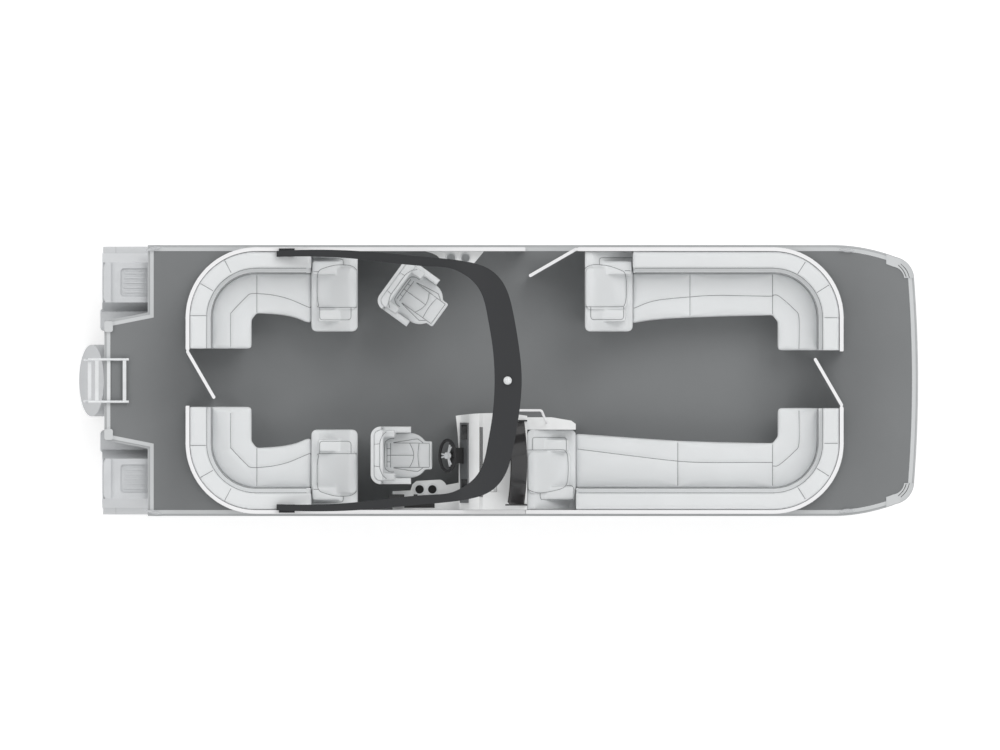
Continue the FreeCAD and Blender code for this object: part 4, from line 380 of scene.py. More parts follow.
@dataclass(frozen=True)
class WheelFinish:
    """The steering wheel's finish: a grained black rim on satin metal spokes."""

    name: str
    rim: str
    spokes: str
    hub: tuple[float, float, float]
    reach: float
    edge: float = 0.003

    def material(self) -> bpy.types.Material:
        """Build the material and give it back."""
        graph = Graph(self.name)
        outer = graph.distance(self.hub).ramp(self.reach, self.reach + self.edge)
        grain = graph.cells(scale=420.0)
        brushed = graph.noise(scale=120.0, detail=3.0, stretch=(4.0, 1.0, 1.0))
        silver = graph.blend(brushed, scaled(tone(self.spokes), 0.88), tone(self.spokes))
        black = graph.blend(grain, scaled(tone(self.rim), 0.7), tone(self.rim))
        graph.set(Base_Color=graph.blend(outer, silver, black), Metallic=(1 - outer) * 0.15,
                  Roughness=outer * 0.25 + brushed * 0.08 + 0.26)
        graph.emboss(grain * outer + brushed * (1 - outer) * 0.2, depth=0.0006)
        return graph.material


@dataclass(frozen=True)
class CupFinish:
    """The cup holders' finish: black liners under pale rims where listed, pale throughout elsewhere."""

    name: str
    liner: str
    rim: str
    centres: tuple[Place, ...]
    radius: float
    edge: float = 0.002

    def material(self) -> bpy.types.Material:
        """Build the material and give it back."""
        graph = Graph(self.name)
        along, across, _ = graph.axes()
        inside: Operand = 0.0
        for x, y in self.centres:
            reach = ((along - x) ** 2.0 + (across - y) ** 2.0) ** 0.5
            inside = (1 - reach.ramp(self.radius, self.radius + self.edge)) + inside
        grain = graph.noise(scale=240.0)
        pale = graph.blend(grain, scaled(tone(self.rim), 0.9), tone(self.rim))
        graph.set(Base_Color=graph.blend(inside, pale, tone(self.liner)), Roughness=grain * 0.15 + 0.25)
        graph.emboss(grain, depth=0.0003)
        return graph.material


class Paintwork:
    """The finishes of all the hard pieces and which piece wears which."""

    FINISHES = (
        Finish("tube_sheet", "C2C4C6", Grain.BRUSHED, rough=0.40, metal=0.45, seams_every=1.22),
        Finish("pod_sheet", "CDCFD1", Grain.BRUSHED, rough=0.42, metal=0.35),
        Finish("frame_extrusion", "A9ABAD", Grain.BRUSHED, rough=0.45, metal=0.8),
        Finish("deck_vinyl", "7A7C7D", Grain.WEAVE, rough=0.85),
        Finish("edge_trim", "CDCFD0", Grain.POWDER, rough=0.35, metal=0.25),
        Finish("rub_rubber", "B4B6B7", Grain.PEBBLE, rough=0.6),
        Finish("rail_coat", "E9E9EA", Grain.POWDER, rough=0.32, coat=0.15),
        Finish("panel_coat", "EDEDEE", Grain.POWDER, rough=0.28, coat=0.4),
        Finish("moulded_base", "D2D4D5", Grain.PEBBLE, rough=0.5),
        Finish("console_gelcoat", "E9EAEA", Grain.GELCOAT, rough=0.22, coat=0.6),
        Finish("dash_plastic", "5F6163", Grain.PEBBLE, rough=0.5),
        Finish("screen_glass", "121214", Grain.GLASS, rough=0.06, coat=0.8),
        Finish("tinted_sheet", "1F1C1D", Grain.GLASS, rough=0.08, coat=0.1, alpha=0.98, shine=0.35),
        # Black plastic; the dark threads on the caps and the console wear it too, as painted shade.
        Finish("black_plastic_and_shade", "1E1E1F", Grain.PEBBLE, rough=0.45),
        Finish("arch_coat", "313234", Grain.POWDER, rough=0.34, coat=0.15, shine=0.3),
        Finish("light_lens", "D8DADB", Grain.GELCOAT, rough=0.15, coat=0.9),
        Finish("marine_steel", "DADCDE", Grain.BRUSHED, rough=0.25, metal=0.6),
        Finish("ladder_tube", "E6E8E9", Grain.BRUSHED, rough=0.32, metal=0.35),
        Finish("marine_vinyl", "D8DADB", Grain.VINYL, rough=0.48),
        Finish("seam_thread", "808284", Grain.VINYL, rough=0.6),
        WheelFinish("wheel_grip", rim="242426", spokes="E4E6E8", hub=(-0.488, -0.718, 1.690), reach=0.112),
        CupFinish("cup_liner", liner="1B1B1C", rim="DCDEDF",
                  centres=((-0.756, -1.040), (-0.634, -1.040)), radius=0.0395),
    )

    WORN = {
        "tube_centre": "tube_sheet", "tube_port": "tube_sheet", "tube_starboard": "tube_sheet",
        "motor_pod_port": "pod_sheet", "motor_pod_starboard": "pod_sheet",
        "cross_members": "frame_extrusion", "tube_risers": "frame_extrusion",
        "deck_panel": "deck_vinyl", "deck_edge_rail": "edge_trim", "corner_caps": "edge_trim",
        "rub_rail": "rub_rubber", "fence_panels": "panel_coat", "lounge_bases": "moulded_base",
        "fence_aft_port": "rail_coat", "fence_aft_starboard": "rail_coat",
        "fence_fore_port": "rail_coat", "fence_fore_starboard": "rail_coat",
        "gate_aft": "rail_coat", "gate_bow": "rail_coat", "gate_side": "rail_coat", "grab_rail": "rail_coat",
        "console": "console_gelcoat", "side_console": "console_gelcoat", "side_table": "console_gelcoat",
        "helm_panel": "console_gelcoat",
        "helm_chair_shell": "moulded_base", "port_chair_shell": "moulded_base",
        "dash_panel": "dash_plastic", "screens": "screen_glass", "windshield": "tinted_sheet",
        "windshield_frame": "black_plastic_and_shade", "cup_holders": "cup_liner", "throttle": "black_plastic_and_shade",
        "steering_column": "black_plastic_and_shade", "steering_wheel": "wheel_grip", "arch": "arch_coat",
        "arch_light": "light_lens", "chair_pedestals": "marine_steel", "cleats": "marine_steel",
        "ladder_frame": "ladder_tube", "ladder_fold": "ladder_tube",
    }

    def __init__(self) -> None:
        """Build each finish once."""
        self.materials = {finish.name: finish.material() for finish in self.FINISHES}

    def dress(self, piece: bpy.types.Object, finish: str) -> None:
        """Give a piece its finish and nothing else."""
        piece.data.materials.clear()
        piece.data.materials.append(self.materials[finish])

    def dress_frame(self) -> None:
        """Dress every hard piece of the fixed frame."""
        for node, finish in self.WORN.items():
            self.dress(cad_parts[node], finish)
        log.info("dressed %d pieces of the frame", len(self.WORN))


def new_piece(name: str, form: bmesh.types.BMesh) -> bpy.types.Object:
    """Turn a finished bmesh into an object at the origin, smooth shaded.

    Args:
        name: The piece's name.
        form: Its mesh, which is freed.

    Returns:
        The new object.
    """
    mesh = bpy.data.meshes.new(name)
    form.to_mesh(mesh)
    form.free()
    mesh.shade_smooth()
    piece = bpy.data.objects.new(name, mesh)
    bpy.context.scene.collection.objects.link(piece)
    return piece


def applied(piece: bpy.types.Object) -> None:
    """Apply a piece's modifiers to its mesh and take them off."""
    graph = bpy.context.evaluated_depsgraph_get()
    mesh = bpy.data.meshes.new_from_object(piece.evaluated_get(graph))
    piece.modifiers.clear()
    piece.data = mesh


def corners_of(mesh: bpy.types.Mesh) -> np.ndarray:
    """Give a mesh's vertices as rows of numbers."""
    flat = np.empty(len(mesh.vertices) * 3)
    mesh.vertices.foreach_get("co", flat)
    return flat.reshape(-1, 3)


def gap_to_paths(points: np.ndarray, paths: Sequence[Sequence[Place]]) -> np.ndarray:
    """Give each point's distance, in the boat's plan, from the nearest of some paths."""
    gap = np.full(len(points), FAR)
    for path in paths:
        for start, end in zip(path, path[1:]):
            first, along = np.array(start), np.array(end) - np.array(start)
            share = ((points[:, :2] - first) @ along) / max(along @ along, TINY)
            nearest = first + np.clip(share, 0, 1)[:, None] * along
            gap = np.minimum(gap, np.linalg.norm(points[:, :2] - nearest, axis=1))
    return gap


def eased(path: Sequence[Place], step: float = 0.02, bends_each: int = 8) -> list[Place]:
    """Round a path through its points into short even steps.

    Args:
        path: The points that the path goes through.
        step: The distance between the points that come back.
        bends_each: How many straight pieces the bend between two points is made of.

    Returns:
        The points of the rounded path.
    """
    points = [Vector(p).to_3d() for p in path]
    if len(points) == 2:
        bends = points
    else:
        bends = []
        ends = [points[0] * 2 - points[1], *points, points[-1] * 2 - points[-2]]
        for before, start, end, after in zip(ends, ends[1:], ends[2:], ends[3:]):
            for share in np.linspace(0, 1, bends_each, endpoint=False):
                line = start * 2 + (end - before) * share
                line += (before * 2 - start * 5 + end * 4 - after) * share ** 2
                line += (start * 3 - before - end * 3 + after) * share ** 3
                bends.append(line / 2)
        bends.append(points[-1])
    result = [bends[0]]
    for start, end in zip(bends, bends[1:]):
        count = max(1, math.ceil((end - start).length / step))
        result.extend(start.lerp(end, (index + 1) / count) for index in range(count))
    return [(p.x, p.y) for p in result]


def surface(piece: bpy.types.Object) -> BVHTree:
    """Give a piece's surface, for rays to be cast at."""
    return BVHTree.FromObject(piece, bpy.context.evaluated_depsgraph_get())


def draped(path: Sequence[Place], *surfaces: BVHTree) -> list[Vector]:
    """Drop a path in plan onto the highest of some surfaces, and leave out where it misses them."""
    places = []
    for x, y in path:
        hits = [tree.ray_cast(Vector((x, y, OVERHEAD)), Vector((0, 0, -1)))[0] for tree in surfaces]
        hits = [hit for hit in hits if hit is not None]
        if hits:
            places.append(max(hits, key=lambda hit: hit.z))
    return places


def in_passing(places: Sequence[Any]) -> Iterator[tuple[Any, Any, Any]]:
    """Give each place with the one before it and the one after it, where an end is its own neighbour."""
    return zip([places[0], *places], places, [*places[1:], places[-1]])


def add_piece(
        name: str, form: bmesh.types.BMesh, body: str, finish: str, paint: Paintwork) -> None:
    """Turn a mesh into a dressed piece that goes with a body.

    Args:
        name: The piece's name.
        form: Its mesh, which is freed.
        body: The body that it rides on.
        finish: The finish that it wears.
        paint: The finishes.
    """
    bmesh.ops.recalc_face_normals(form, faces=form.faces)
    piece = new_piece(name, form)
    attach(piece, body)
    paint.dress(piece, finish)


@dataclass
class Pad:
    """One sewn cushion that stands for a plain solid of the frame.

    Attributes:
        node: The solid's node.
        body: The body that the cushion rides on.
        seams: Its seams in plan.
        voxel: The grid that the solid is remade on.
        swell: How far the stuffing can push the cloth out.
        rounding: How many times its edges are smoothed.
        groove: How deep a seam is drawn in.
        thread: Half the thickness of a seam's thread.
        fill: How tight it is, from 0 to 1. Not used.
        hold_sides: The share of the push along and across the boat that is kept.
        base: The height of the strip round its foot that is held.
        bolsters: Blocks that are joined to the solid.
    """

    node: str
    body: str
    seams: list[list[Place]] = field(default_factory=list)
    voxel: float = 0.012
    swell: float = 0.012
    rounding: int = 5
    groove: float = 0.006
    thread: float = 0.0032
    fill: float = 0.7
    hold_sides: float = 1.0
    base: float = 0.02
    bolsters: list[Matrix] = field(default_factory=list)

    UNDERSIDE = -0.2
    TOPSIDE = 0.1
    HELD_VOXELS = 0.8
    GROOVE_VOXELS = 2.2
    WELD_GAP = 0.00005
    STUFFING = {
        "quality": 2, "mass": 0.4, "tension_stiffness": 18, "compression_stiffness": 18,
        "shear_stiffness": 8, "bending_stiffness": 1.0, "use_pressure": True, "uniform_pressure_force": 5}

    def cut(self) -> None:
        """Make the plain cushion, and stuff it where it isn't held by its base or a seam."""
        self.piece = self._blank()
        self.start = corners_of(self.piece.data)
        self.paths = [eased(path) for path in self.seams]
        self.gap = gap_to_paths(self.start, self.paths)
        normals = np.empty(len(self.start) * 3)
        self.piece.data.vertices.foreach_get("normal", normals)
        self.normals = normals.reshape(-1, 3)
        low = self.start[:, 2] < self.start[:, 2].min() + self.base
        sewn = self.gap < self.voxel * self.HELD_VOXELS
        self._stuff(low | sewn | (self.normals[:, 2] < self.UNDERSIDE))

    def filled(self) -> np.ndarray:
        """Give how far each point has moved by now, up to a limit."""
        graph = bpy.context.evaluated_depsgraph_get()
        move = corners_of(self.piece.evaluated_get(graph).data) - self.start
        reach = np.linalg.norm(move, axis=1)
        scale = self.swell * (1 - np.exp(-reach / self.swell)) / np.maximum(reach, TINY)
        return move * scale[:, None]

    def close(self, move: np.ndarray, paint: Paintwork) -> None:
        """Fix the cushion's shape, draw its seams in and dress it.

        Args:
            move: How far each point moves out.
            paint: The finishes.
        """
        piece = self.piece
        piece.modifiers.clear()
        piece.vertex_groups.clear()
        end = self.start + move * np.array([self.hold_sides, self.hold_sides, 1.0])
        dip = np.clip(1 - self.gap / (self.voxel * self.GROOVE_VOXELS), 0, 1) ** 2 * self.groove
        end -= self.normals * (dip * (self.normals[:, 2] > self.TOPSIDE))[:, None]
        piece.data.vertices.foreach_set("co", end.ravel())
        piece.data.update()
        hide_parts(self.node)
        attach(piece, self.body)
        paint.dress(piece, "marine_vinyl")
        if self.paths:
            self._sew(paint)
        log.info("sewed %s with %d seams", self.node, len(self.paths))

    def _blank(self) -> bpy.types.Object:
        """Copy the solid, remesh it evenly and round its edges."""
        form = bmesh.new()
        form.from_mesh(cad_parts[self.node].data)
        bmesh.ops.remove_doubles(form, verts=form.verts, dist=self.WELD_GAP)
        for bolster in self.bolsters:
            bmesh.ops.create_cube(form, size=1.0, matrix=bolster)
        piece = new_piece(self.node + "_sewn", form)
        remesh = piece.modifiers.new("even", "REMESH")
        remesh.mode = "VOXEL"
        remesh.voxel_size = self.voxel
        applied(piece)
        form = bmesh.new()
        form.from_mesh(piece.data)
        for _ in range(self.rounding):
            bmesh.ops.smooth_vert(
                form, verts=form.verts, factor=0.5, use_axis_x=True, use_axis_y=True, use_axis_z=True)
        form.to_mesh(piece.data)
        form.free()
        piece.data.shade_smooth()
        return piece

    def _stuff(self, held: np.ndarray) -> None:
        """Give the cushion the cloth that inflates it between the points that are held."""
        group = self.piece.vertex_groups.new(name="sewn")
        group.add([int(index) for index in np.flatnonzero(held)], 1.0, "REPLACE")
        cloth = self.piece.modifiers.new("stuffing", "CLOTH")
        for name, value in self.STUFFING.items():
            setattr(cloth.settings, name, value)
        cloth.settings.vertex_group_mass = group.name
        cloth.settings.effector_weights.gravity = 0
        cloth.collision_settings.use_collision = False

    def _sew(self, paint: Paintwork) -> None:
        """Lay a raised thread along each seam on top of the cushion."""
        top = surface(self.piece)
        form = bmesh.new()
        for path in self.paths:
            add_thread(form, draped(path, top), self.thread)
        if form.verts:
            add_piece(self.node + "_seams", form, self.body, "seam_thread", paint)
        else:
            form.free()


def add_thread(form: bmesh.types.BMesh, places: Sequence[Vector], radius: float, sides: int = 6) -> None:
    """Add a closed round thread along some places to a bmesh.

    Args:
        form: The mesh that gets the thread.
        places: The thread's middle line. Fewer than two places give no thread.
        radius: Half its thickness.
        sides: The number of its sides.
    """
    if len(places) < 2:
        return
    rings = []
    for before, here, after in in_passing(places):
        heading = (after - before).normalized()
        across = heading.cross(Vector((0.0, 0.0, 1.0)))
        across = (across if across.length > STEEP else heading.cross(Vector((1.0, 0.0, 0.0)))).normalized()
        lift = across.cross(heading)
        ring = []
        for angle in np.linspace(0, math.tau, sides, endpoint=False):
            ring.append(form.verts.new(here + (across * math.cos(angle) + lift * math.sin(angle)) * radius))
        rings.append(ring)
    for first, second in zip(rings, rings[1:]):
        for index in range(sides):
            onward = (index + 1) % sides
            form.faces.new((first[index], first[onward], second[onward], second[index]))
    form.faces.new(reversed(rings[0]))
    form.faces.new(rings[-1])


@dataclass(frozen=True)
class FenceLine:
    """The line that a fence follows in plan: across the boat, round a corner and along its side.

    Attributes:
        stem: Where the cross part lies along the boat.
        side: 1 for port and -1 for starboard.
        reach: How far the side part lies from the boat's middle.
        corner: The corner's radius.
    """

    stem: float
    side: int
    reach: float = 1.2545
    corner: float = 0.655

    def path(self, inset: float, start: float, end: float, step: float = 0.06) -> list[Place]:
        """Follow the line, or a line beside it.

        Args:
            inset: How far inside the fence's line it runs.
            start: How far from the boat's middle the cross part starts.
            end: Where the side part ends along the boat.
            step: About how far apart the places are.

        Returns:
            The places along it.
        """
        heading = math.copysign(1, self.stem)
        radius = self.corner - inset
        centre = Vector((self.stem - heading * self.corner, self.reach - self.corner))
        line = [(centre.x + heading * radius, y) for y in np.arange(start, centre.y - step / 2, step)]
        for angle in np.linspace(0, math.pi / 2, max(2, round(radius * math.pi / 2 / step) + 1)):
            line.append((centre.x + heading * radius * math.cos(angle), centre.y + radius * math.sin(angle)))
        line += [(x, centre.y + radius) for x in np.arange(centre.x, end, -heading * step)[1:]]
        return [(x, self.side * y) for x, y in line]


class Fittings:
    """Small fasteners and a joint line that the solids leave out, and dark threads that paint the shade in
    the caps' grooves and the console's vent.
    """

    FENCES = {
        "fence_aft_port": FenceLine(AFT_FENCE, 1), "fence_aft_starboard": FenceLine(AFT_FENCE, -1),
        "fence_fore_port": FenceLine(BOW_FENCE, 1), "fence_fore_starboard": FenceLine(BOW_FENCE, -1)}
    SKIN_FACE = 0.020
    RIVET_ROWS = (0.936, 1.603)
    RIVET_PITCH = 0.14
    RIVET_RADIUS = 0.006
    RIVET_DOME = 0.45
    END_MARGIN = 0.06
    TRIM_STEP = 0.01
    # The lines on a bow corner cap, in the drawing's pixels; dark threads along them paint the shade in its
    # grooves.
    CAP_GROOVE_SHADE = [
        [(898.2, 265.0), (901.6, 268.5), (904.1, 272.1), (906.2, 277.1)],
        [(901.0, 263.9), (904.8, 268.0), (907.5, 272.1), (909.4, 277.5)]]
    GROOVE_SHADE_RADIUS = 0.003
    # Where the dark threads that paint the shade in the console's vent lie along the boat, and how far across
    # it they run.
    VENT_SHADE_LINES = (-0.1805, -0.1722, -0.1639, -0.1556)
    VENT_SPAN = (-1.114, -0.445)
    VENT_SHADE_RADIUS = 0.0034
    RECESS = [(-0.077, -1.064), (-0.077, -0.501), (-0.019, -0.501), (-0.019, -1.064), (-0.077, -1.064)]
    JOINT_RADIUS = 0.0016

    def build(self, paint: Paintwork) -> None:
        """Add all of them."""
        for node, line in self.FENCES.items():
            self._rivets(node, line, paint)
        self._cap_groove_shade(paint)
        self._console_joint_and_vent_shade(paint)

    def _rivets(self, node: str, line: FenceLine, paint: Paintwork) -> None:
        """Set two rows of domed rivets along a fence's sheet."""
        spots = corners_of(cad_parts[node].data)
        near = np.abs(spots[:, 1]).min() + self.END_MARGIN
        ends = sorted((spots[:, 0].min(), spots[:, 0].max()), key=lambda x: abs(x - line.stem))
        end = ends[1] + math.copysign(self.END_MARGIN, line.stem)
        form = bmesh.new()
        for before, here, after in in_passing(line.path(-self.SKIN_FACE, near, end, self.RIVET_PITCH)):
            along = Vector(after) - Vector(before)
            outward = Vector((along.y, -along.x, 0.0)).normalized()
            if outward.to_2d().dot(Vector(here)) < 0:
                outward.negate()
            turn = outward.to_track_quat("Z", "Y").to_matrix().to_4x4()
            for height in self.RIVET_ROWS:
                place = Matrix.Translation((*here, height))
                dome = Matrix.Diagonal((1.0, 1.0, self.RIVET_DOME, 1.0))
                bmesh.ops.create_uvsphere(
                    form, u_segments=10, v_segments=6, radius=self.RIVET_RADIUS, matrix=place @ turn @ dome)
        add_piece(node + "_rivets", form, "hull", "marine_steel", paint)

    def _cap_groove_shade(self, paint: Paintwork) -> None:
        """Lay the two dark lines on each bow corner cap: painted shade along its grooves, as raised black
        threads.
        """
        caps = surface(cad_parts["corner_caps"])
        form = bmesh.new()
        for side in (1, -1):
            for groove in self.CAP_GROOVE_SHADE:
                path = eased([plan(x, y) for x, y in groove], self.TRIM_STEP)
                add_thread(form, draped([(x, side * y) for x, y in path], caps), self.GROOVE_SHADE_RADIUS)
        add_piece("corner_cap_groove_shade", form, "hull", "black_plastic_and_shade", paint)

    def _console_joint_and_vent_shade(self, paint: Paintwork) -> None:
        """Lay dark threads on the console: four that paint the shade in its vent, and the dark joint round
        its recess.
        """
        tops = [surface(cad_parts[node]) for node in ("console", "helm_panel")]
        low, high = self.VENT_SPAN
        lines = [([(x, low), (x, high)], self.VENT_SHADE_RADIUS) for x in self.VENT_SHADE_LINES]
        lines += [(list(side), self.JOINT_RADIUS) for side in zip(self.RECESS, self.RECESS[1:])]
        form = bmesh.new()
        for line, radius in lines:
            add_thread(form, draped(eased(line, self.TRIM_STEP), *tops), radius)
        add_piece("console_joint_and_vent_shade", form, "hull", "black_plastic_and_shade", paint)


class Upholstery:
    """All the cushions of the boat, with the seams that its drawing shows."""

    AFT_BACK = [
        [(224.6, 260.5), (231.0, 272.6)], [(200.4, 283.5), (212.9, 290.7)], [(190.2, 315.6), (206.1, 315.6)]]
    AFT_SEAT = [
        [(256.8, 271.0), (256.8, 312.5)],
        [(230.6, 347.9), (230.6, 316.6), (232.3, 311.5), (246.3, 296.9), (250.2, 293.9), (256.5, 293.4)],
        [(256.5, 293.4), (271.8, 294.9), (288.4, 298.8), (308.2, 307.0), (311.0, 306.6)]]
    AFT_CHAISE = [
        [(356.5, 307.3), (321.0, 307.3), (318.6, 304.8), (317.4, 297.0), (317.2, 286.0), (317.6, 275.0),
         (318.8, 271.2), (322.0, 268.8), (333.0, 265.5), (341.0, 264.8), (349.0, 265.3), (354.0, 267.3),
         (356.6, 270.2)],
        [(319.7, 307.3), (319.6, 313.0), (319.8, 317.8), (321.8, 319.6), (328.0, 319.8), (342.0, 319.8),
         (348.3, 319.6), (350.7, 317.8), (351.0, 313.0), (351.0, 307.3)],
        [(312.2, 271.6), (318.6, 271.6)],
        [(312.4, 258.9), (326.0, 258.9), (340.5, 259.0), (343.0, 261.0), (343.2, 264.8)]]
    PORT_CHAISE = [
        [(584.9, 306.8), (604.0, 306.8), (621.5, 306.5), (624.6, 304.5), (626.0, 298.0), (626.3, 288.0),
         (626.0, 279.0), (624.7, 273.0), (621.0, 270.2), (610.0, 266.3), (600.0, 264.7), (592.0, 264.9),
         (587.0, 266.8), (584.9, 268.6)],
        [(590.7, 306.8), (590.7, 312.0), (590.9, 317.3), (593.0, 319.4), (600.0, 319.5), (614.0, 319.5),
         (621.0, 319.4), (623.4, 317.3), (623.7, 312.0), (623.7, 306.8)],
        [(624.8, 270.6), (632.0, 270.6)],
        [(632.0, 257.5), (616.0, 257.5), (602.2, 257.6), (599.6, 259.6), (599.4, 264.6)]]
    HELM_CHAISE = [
        [(527.5, 450.0), (546.0, 449.9), (562.5, 449.8), (565.5, 451.2), (567.3, 455.0), (568.1, 464.0),
         (568.0, 474.0), (566.9, 483.0), (562.5, 488.1), (551.0, 491.3), (541.0, 492.8), (533.8, 491.9),
         (527.8, 489.4)],
        [(532.3, 449.8), (532.3, 443.0), (532.6, 438.8), (535.0, 437.5), (548.0, 437.4), (563.0, 437.5),
         (566.0, 439.0), (566.3, 443.0), (566.3, 450.5)],
        [(540.0, 492.6), (540.4, 497.6), (543.0, 499.6), (556.0, 499.7), (571.0, 499.6), (573.6, 497.4),
         (573.7, 492.0), (573.4, 487.6), (571.0, 485.6), (566.5, 485.5)]]
    FORE_BACK = [
        [(805.3, 262.0), (797.6, 273.9)], [(828.9, 285.0), (816.7, 292.7)], [(823.1, 317.7), (839.7, 317.7)]]
    FORE_CORNER = [(772.7, 295.0), (779.1, 296.2), (793.8, 309.0), (798.9, 317.9), (798.9, 350.4)]
    FORE_PORT_SEAT = [
        [(689.9, 272.5), (689.9, 315.5)], [(772.5, 272.5), (772.5, 315.5)], FORE_CORNER,
        [(632.6, 308.7), (654.8, 300.7), (689.9, 296.9), (718.6, 295.3), (768.3, 296.2), (772.5, 295.0)]]
    FORE_STARBOARD_SEAT = [
        [(677.8, 437.0), (677.8, 485.5)], [(772.5, 443.0), (772.5, 485.5)],
        [(577.6, 449.0), (629.3, 455.5), (677.8, 461.1), (705.8, 462.4), (740.0, 462.4), (772.5, 462.4)]]
    CHAIR = [
        [(372.8, 444.5), (379.7, 443.7)], [(372.8, 465.9), (379.7, 466.7)],
        [(386.4, 431.6), (382.9, 434.9), (381.1, 438.5), (379.7, 443.4), (379.7, 455.2), (379.7, 467.0),
         (381.1, 471.9), (382.9, 475.5), (386.4, 478.8)],
        [(394.0, 438.5), (390.0, 438.7), (386.9, 440.3), (384.9, 443.4), (384.6, 455.2), (384.9, 467.0),
         (386.9, 470.1), (390.0, 471.7), (394.0, 471.9)],
        [(386.9, 443.4), (386.9, 467.0)], [(390.4, 443.0), (390.4, 467.4)],
        [(386.9, 448.6), (390.4, 448.6)], [(386.9, 461.8), (390.4, 461.8)],
        [(386.9, 455.2), (413.6, 455.2)],
        [(393.6, 442.9), (411.0, 443.0), (429.3, 443.2)], [(393.6, 467.5), (411.0, 467.4), (429.3, 467.2)],
        [(409.6, 443.2), (412.6, 449.5), (413.6, 455.2), (412.6, 461.0), (409.6, 467.2)],
        [(419.0, 443.2), (417.9, 455.2), (419.0, 467.2)], [(429.3, 443.6), (429.3, 466.8)],
        [(393.4, 442.5), (401.6, 441.2), (416.3, 439.0), (418.9, 439.8), (423.0, 442.6)],
        [(393.4, 467.9), (401.6, 469.2), (416.3, 471.4), (418.9, 470.6), (423.0, 467.8)]]
    STUFFING_FRAMES = 9
    SEAT_PAD = {"hold_sides": 0.3, "swell": 0.014}
    BACK_PAD = {"hold_sides": 0.15, "swell": 0.008, "rounding": 2, "voxel": 0.010}
    CHAISE_PAD = {"hold_sides": 0.2, "swell": 0.008, "rounding": 2, "voxel": 0.009}
    CHAIR_PAD = {"voxel": 0.009, "swell": 0.014, "rounding": 4, "hold_sides": 0.4, "groove": 0.008}
    LEDGE_INSETS = (0.181, 0.223)
    LEDGE_START = 0.25
    AFT_LEDGE_END = -1.80
    PORT_LEDGE_END = 1.30
    STARBOARD_LEDGE_END = 0.76
    HELM_PIVOT = (-0.947, -0.715)
    PORT_PIVOT = (-0.809, 0.803)
    PORT_TURN = -36.0
    BOLSTER_SPAN = (-0.190, -0.044)
    BOLSTER_WIDTH = 0.070
    BOLSTER_OFFSET = 0.203
    BOLSTER_HEIGHTS = (1.460, 1.800)

    @staticmethod
    def _port(paths: list[list[Place]]) -> list[list[Place]]:
        """Give paths of the drawing in metres."""
        return [[plan(x, y) for x, y in path] for path in paths]

    @staticmethod
    def _starboard(paths: list[list[Place]]) -> list[list[Place]]:
        """Give paths of the drawing's port side in metres, mirrored to starboard."""
        mirrored = []
        for path in paths:
            places = [plan(x, y) for x, y in path]
            mirrored.append([(x, -y) for x, y in places])
        return mirrored

    def _ledge(self, stem: float, end: float, side: int) -> list[list[Place]]:
        """Give the two lines along the step in a back, from its cross end round to its chaise."""
        line = FenceLine(stem, side)
        return [line.path(inset, self.LEDGE_START, end) for inset in self.LEDGE_INSETS]

    def _port_chair(self) -> list[list[Place]]:
        """Give the chair's seams, turned about the port chair's own swivel."""
        turn = Matrix.Rotation(math.radians(self.PORT_TURN), 2)
        turned = []
        for path in self._port(self.CHAIR):
            places = [turn @ (Vector(p) - Vector(self.HELM_PIVOT)) + Vector(self.PORT_PIVOT) for p in path]
            turned.append([(p.x, p.y) for p in places])
        return turned

    def _bolsters(self, pivot: Place, turn: float) -> list[Matrix]:
        """Give the blocks that carry a chair's back bolster forward along both of its arms."""
        swivel = Matrix.Translation((*pivot, 0.0)) @ Matrix.Rotation(math.radians(turn), 4, "Z")
        aft, fore = self.BOLSTER_SPAN
        low, high = self.BOLSTER_HEIGHTS
        size = Matrix.Diagonal((fore - aft, self.BOLSTER_WIDTH, high - low, 1.0))
        blocks = []
        for side in (-1, 1):
            centre = ((aft + fore) / 2, side * self.BOLSTER_OFFSET, (low + high) / 2)
            blocks.append(swivel @ Matrix.Translation(centre) @ size)
        return blocks

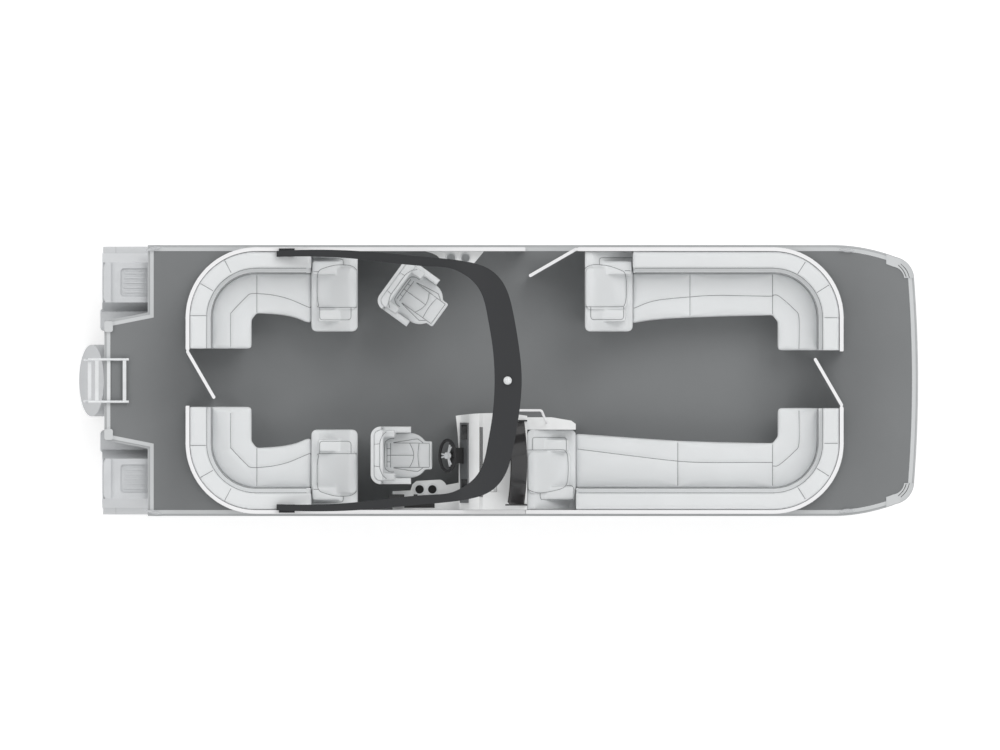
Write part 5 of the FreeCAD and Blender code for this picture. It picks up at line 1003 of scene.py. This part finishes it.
    def _pads(self) -> list[Pad]:
        """Give every cushion with its seams."""
        port, starboard, ledge = self._port, self._starboard, self._ledge
        aft, fore = AFT_FENCE, BOW_FENCE
        return [
            Pad("seat_aft_port", "hull", port(self.AFT_SEAT), **self.SEAT_PAD),
            Pad("seat_aft_starboard", "hull", starboard(self.AFT_SEAT), **self.SEAT_PAD),
            Pad("seat_fore_port", "hull", port(self.FORE_PORT_SEAT), **self.SEAT_PAD),
            Pad("seat_fore_starboard", "hull", port(self.FORE_STARBOARD_SEAT)
                + starboard([self.FORE_CORNER]), **self.SEAT_PAD),
            Pad("back_aft_port", "hull", port(self.AFT_BACK)
                + ledge(aft, self.AFT_LEDGE_END, 1), **self.BACK_PAD),
            Pad("back_aft_starboard", "hull", starboard(self.AFT_BACK)
                + ledge(aft, self.AFT_LEDGE_END, -1), **self.BACK_PAD),
            Pad("back_fore_port", "hull", port(self.FORE_BACK)
                + ledge(fore, self.PORT_LEDGE_END, 1), **self.BACK_PAD),
            Pad("back_fore_starboard", "hull", starboard(self.FORE_BACK)
                + ledge(fore, self.STARBOARD_LEDGE_END, -1), **self.BACK_PAD),
            Pad("chaise_aft_port", "hull", port(self.AFT_CHAISE), **self.CHAISE_PAD),
            Pad("chaise_aft_starboard", "hull", starboard(self.AFT_CHAISE), **self.CHAISE_PAD),
            Pad("chaise_fore_port", "hull", port(self.PORT_CHAISE), **self.CHAISE_PAD),
            Pad("chaise_fore_starboard", "hull", port(self.HELM_CHAISE), **self.CHAISE_PAD),
            Pad("helm_chair_cushions", "helm_chair", port(self.CHAIR),
                bolsters=self._bolsters(self.HELM_PIVOT, 0.0), **self.CHAIR_PAD),
            Pad("port_chair_cushions", "port_chair", self._port_chair(),
                bolsters=self._bolsters(self.PORT_PIVOT, self.PORT_TURN), **self.CHAIR_PAD),
        ]

    def build(self, paint: Paintwork) -> None:
        """Sew every cushion, with all of them stuffed over the same frames."""
        pads = self._pads()
        for pad in pads:
            pad.cut()
        for step in range(1, self.STUFFING_FRAMES + 1):
            bpy.context.scene.frame_set(step)
        moves = [pad.filled() for pad in pads]
        bpy.context.scene.frame_set(1)
        for pad, move in zip(pads, moves):
            pad.close(move, paint)


@dataclass
class Studio:
    """The floor, the light and the camera that looks straight down."""

    centre: Place = (0.013, 0.053)
    height: float = 9.0
    width: float = 9.56
    floor_size: float = 60.0
    floor_gap: float = 0.001
    floor_tone: float = 0.6
    floor_rough: float = 0.9
    floor_glow: float = 0.6
    sky: float = 0.62
    suns: tuple[tuple[float, float], ...] = ((55.0, 0.85), (145.0, 0.38), (235.0, 0.34), (325.0, 0.38))
    sun_tilt: float = 40.0
    sun_width: float = 35.0

    def build(self) -> None:
        """Set up the whole studio."""
        self._floor()
        self._light()
        self._camera()
        bpy.context.scene.view_settings.view_transform = "Standard"

    def _floor(self) -> None:
        """Lay a white floor that takes the boat's shadow and can be seen through from below."""
        form = bmesh.new()
        bmesh.ops.create_grid(form, x_segments=1, y_segments=1, size=self.floor_size / 2)
        bmesh.ops.translate(form, verts=form.verts, vec=(0, 0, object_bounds()[0][2] - self.floor_gap))
        floor = new_piece("floor", form)
        graph = Graph("floor_paint")
        below = Signal(graph, graph.node("ShaderNodeNewGeometry").outputs["Backfacing"])
        graph.set(Base_Color=(*[self.floor_tone] * 3, 1.0), Roughness=self.floor_rough, Alpha=1 - below)
        ray = graph.node("ShaderNodeLightPath")
        seen = Signal(graph, ray.outputs["Is Camera Ray"]) + Signal(graph, ray.outputs["Is Glossy Ray"])
        seen = seen + Signal(graph, ray.outputs["Is Transmission Ray"])
        graph.set(Emission_Color=WHITE, Emission_Strength=seen * self.floor_glow)
        floor.data.materials.append(graph.material)
        floor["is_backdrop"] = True

    def _light(self) -> None:
        """Light the boat with an even sky, seen as white, and a ring of soft suns."""
        world = bpy.data.worlds.new("studio_sky")
        world.use_nodes = True
        nodes, links = world.node_tree.nodes, world.node_tree.links
        nodes["Background"].inputs["Color"].default_value = WHITE
        ray = nodes.new("ShaderNodeLightPath")
        strength = nodes.new("ShaderNodeMapRange")
        strength.inputs["To Min"].default_value = self.sky
        strength.inputs["To Max"].default_value = 1.0
        links.new(ray.outputs["Is Camera Ray"], strength.inputs["Value"])
        links.new(strength.outputs["Result"], nodes["Background"].inputs["Strength"])
        bpy.context.scene.world = world
        for heading, energy in self.suns:
            lamp = bpy.data.lights.new("sun", "SUN")
            lamp.energy = energy
            lamp.angle = math.radians(self.sun_width)
            sun = bpy.data.objects.new("sun", lamp)
            sun.rotation_euler = (0.0, math.radians(self.sun_tilt), math.radians(heading))
            bpy.context.scene.collection.objects.link(sun)

    def _camera(self) -> None:
        """Set the camera straight above the boat, with the bow to its right."""
        lens = bpy.data.cameras.new("plan_view")
        lens.type = "ORTHO"
        lens.ortho_scale = self.width
        camera = bpy.data.objects.new("plan_view", lens)
        camera.location = (*self.centre, self.height)
        bpy.context.scene.collection.objects.link(camera)
        bpy.context.scene.camera = camera


def main() -> None:
    """Set up the studio, dress the frame, sew the cushions and add the fittings."""
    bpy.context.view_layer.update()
    Studio().build()
    paint = Paintwork()
    paint.dress_frame()
    Upholstery().build(paint)
    Fittings().build(paint)


if __name__ == "__main__":
    main()
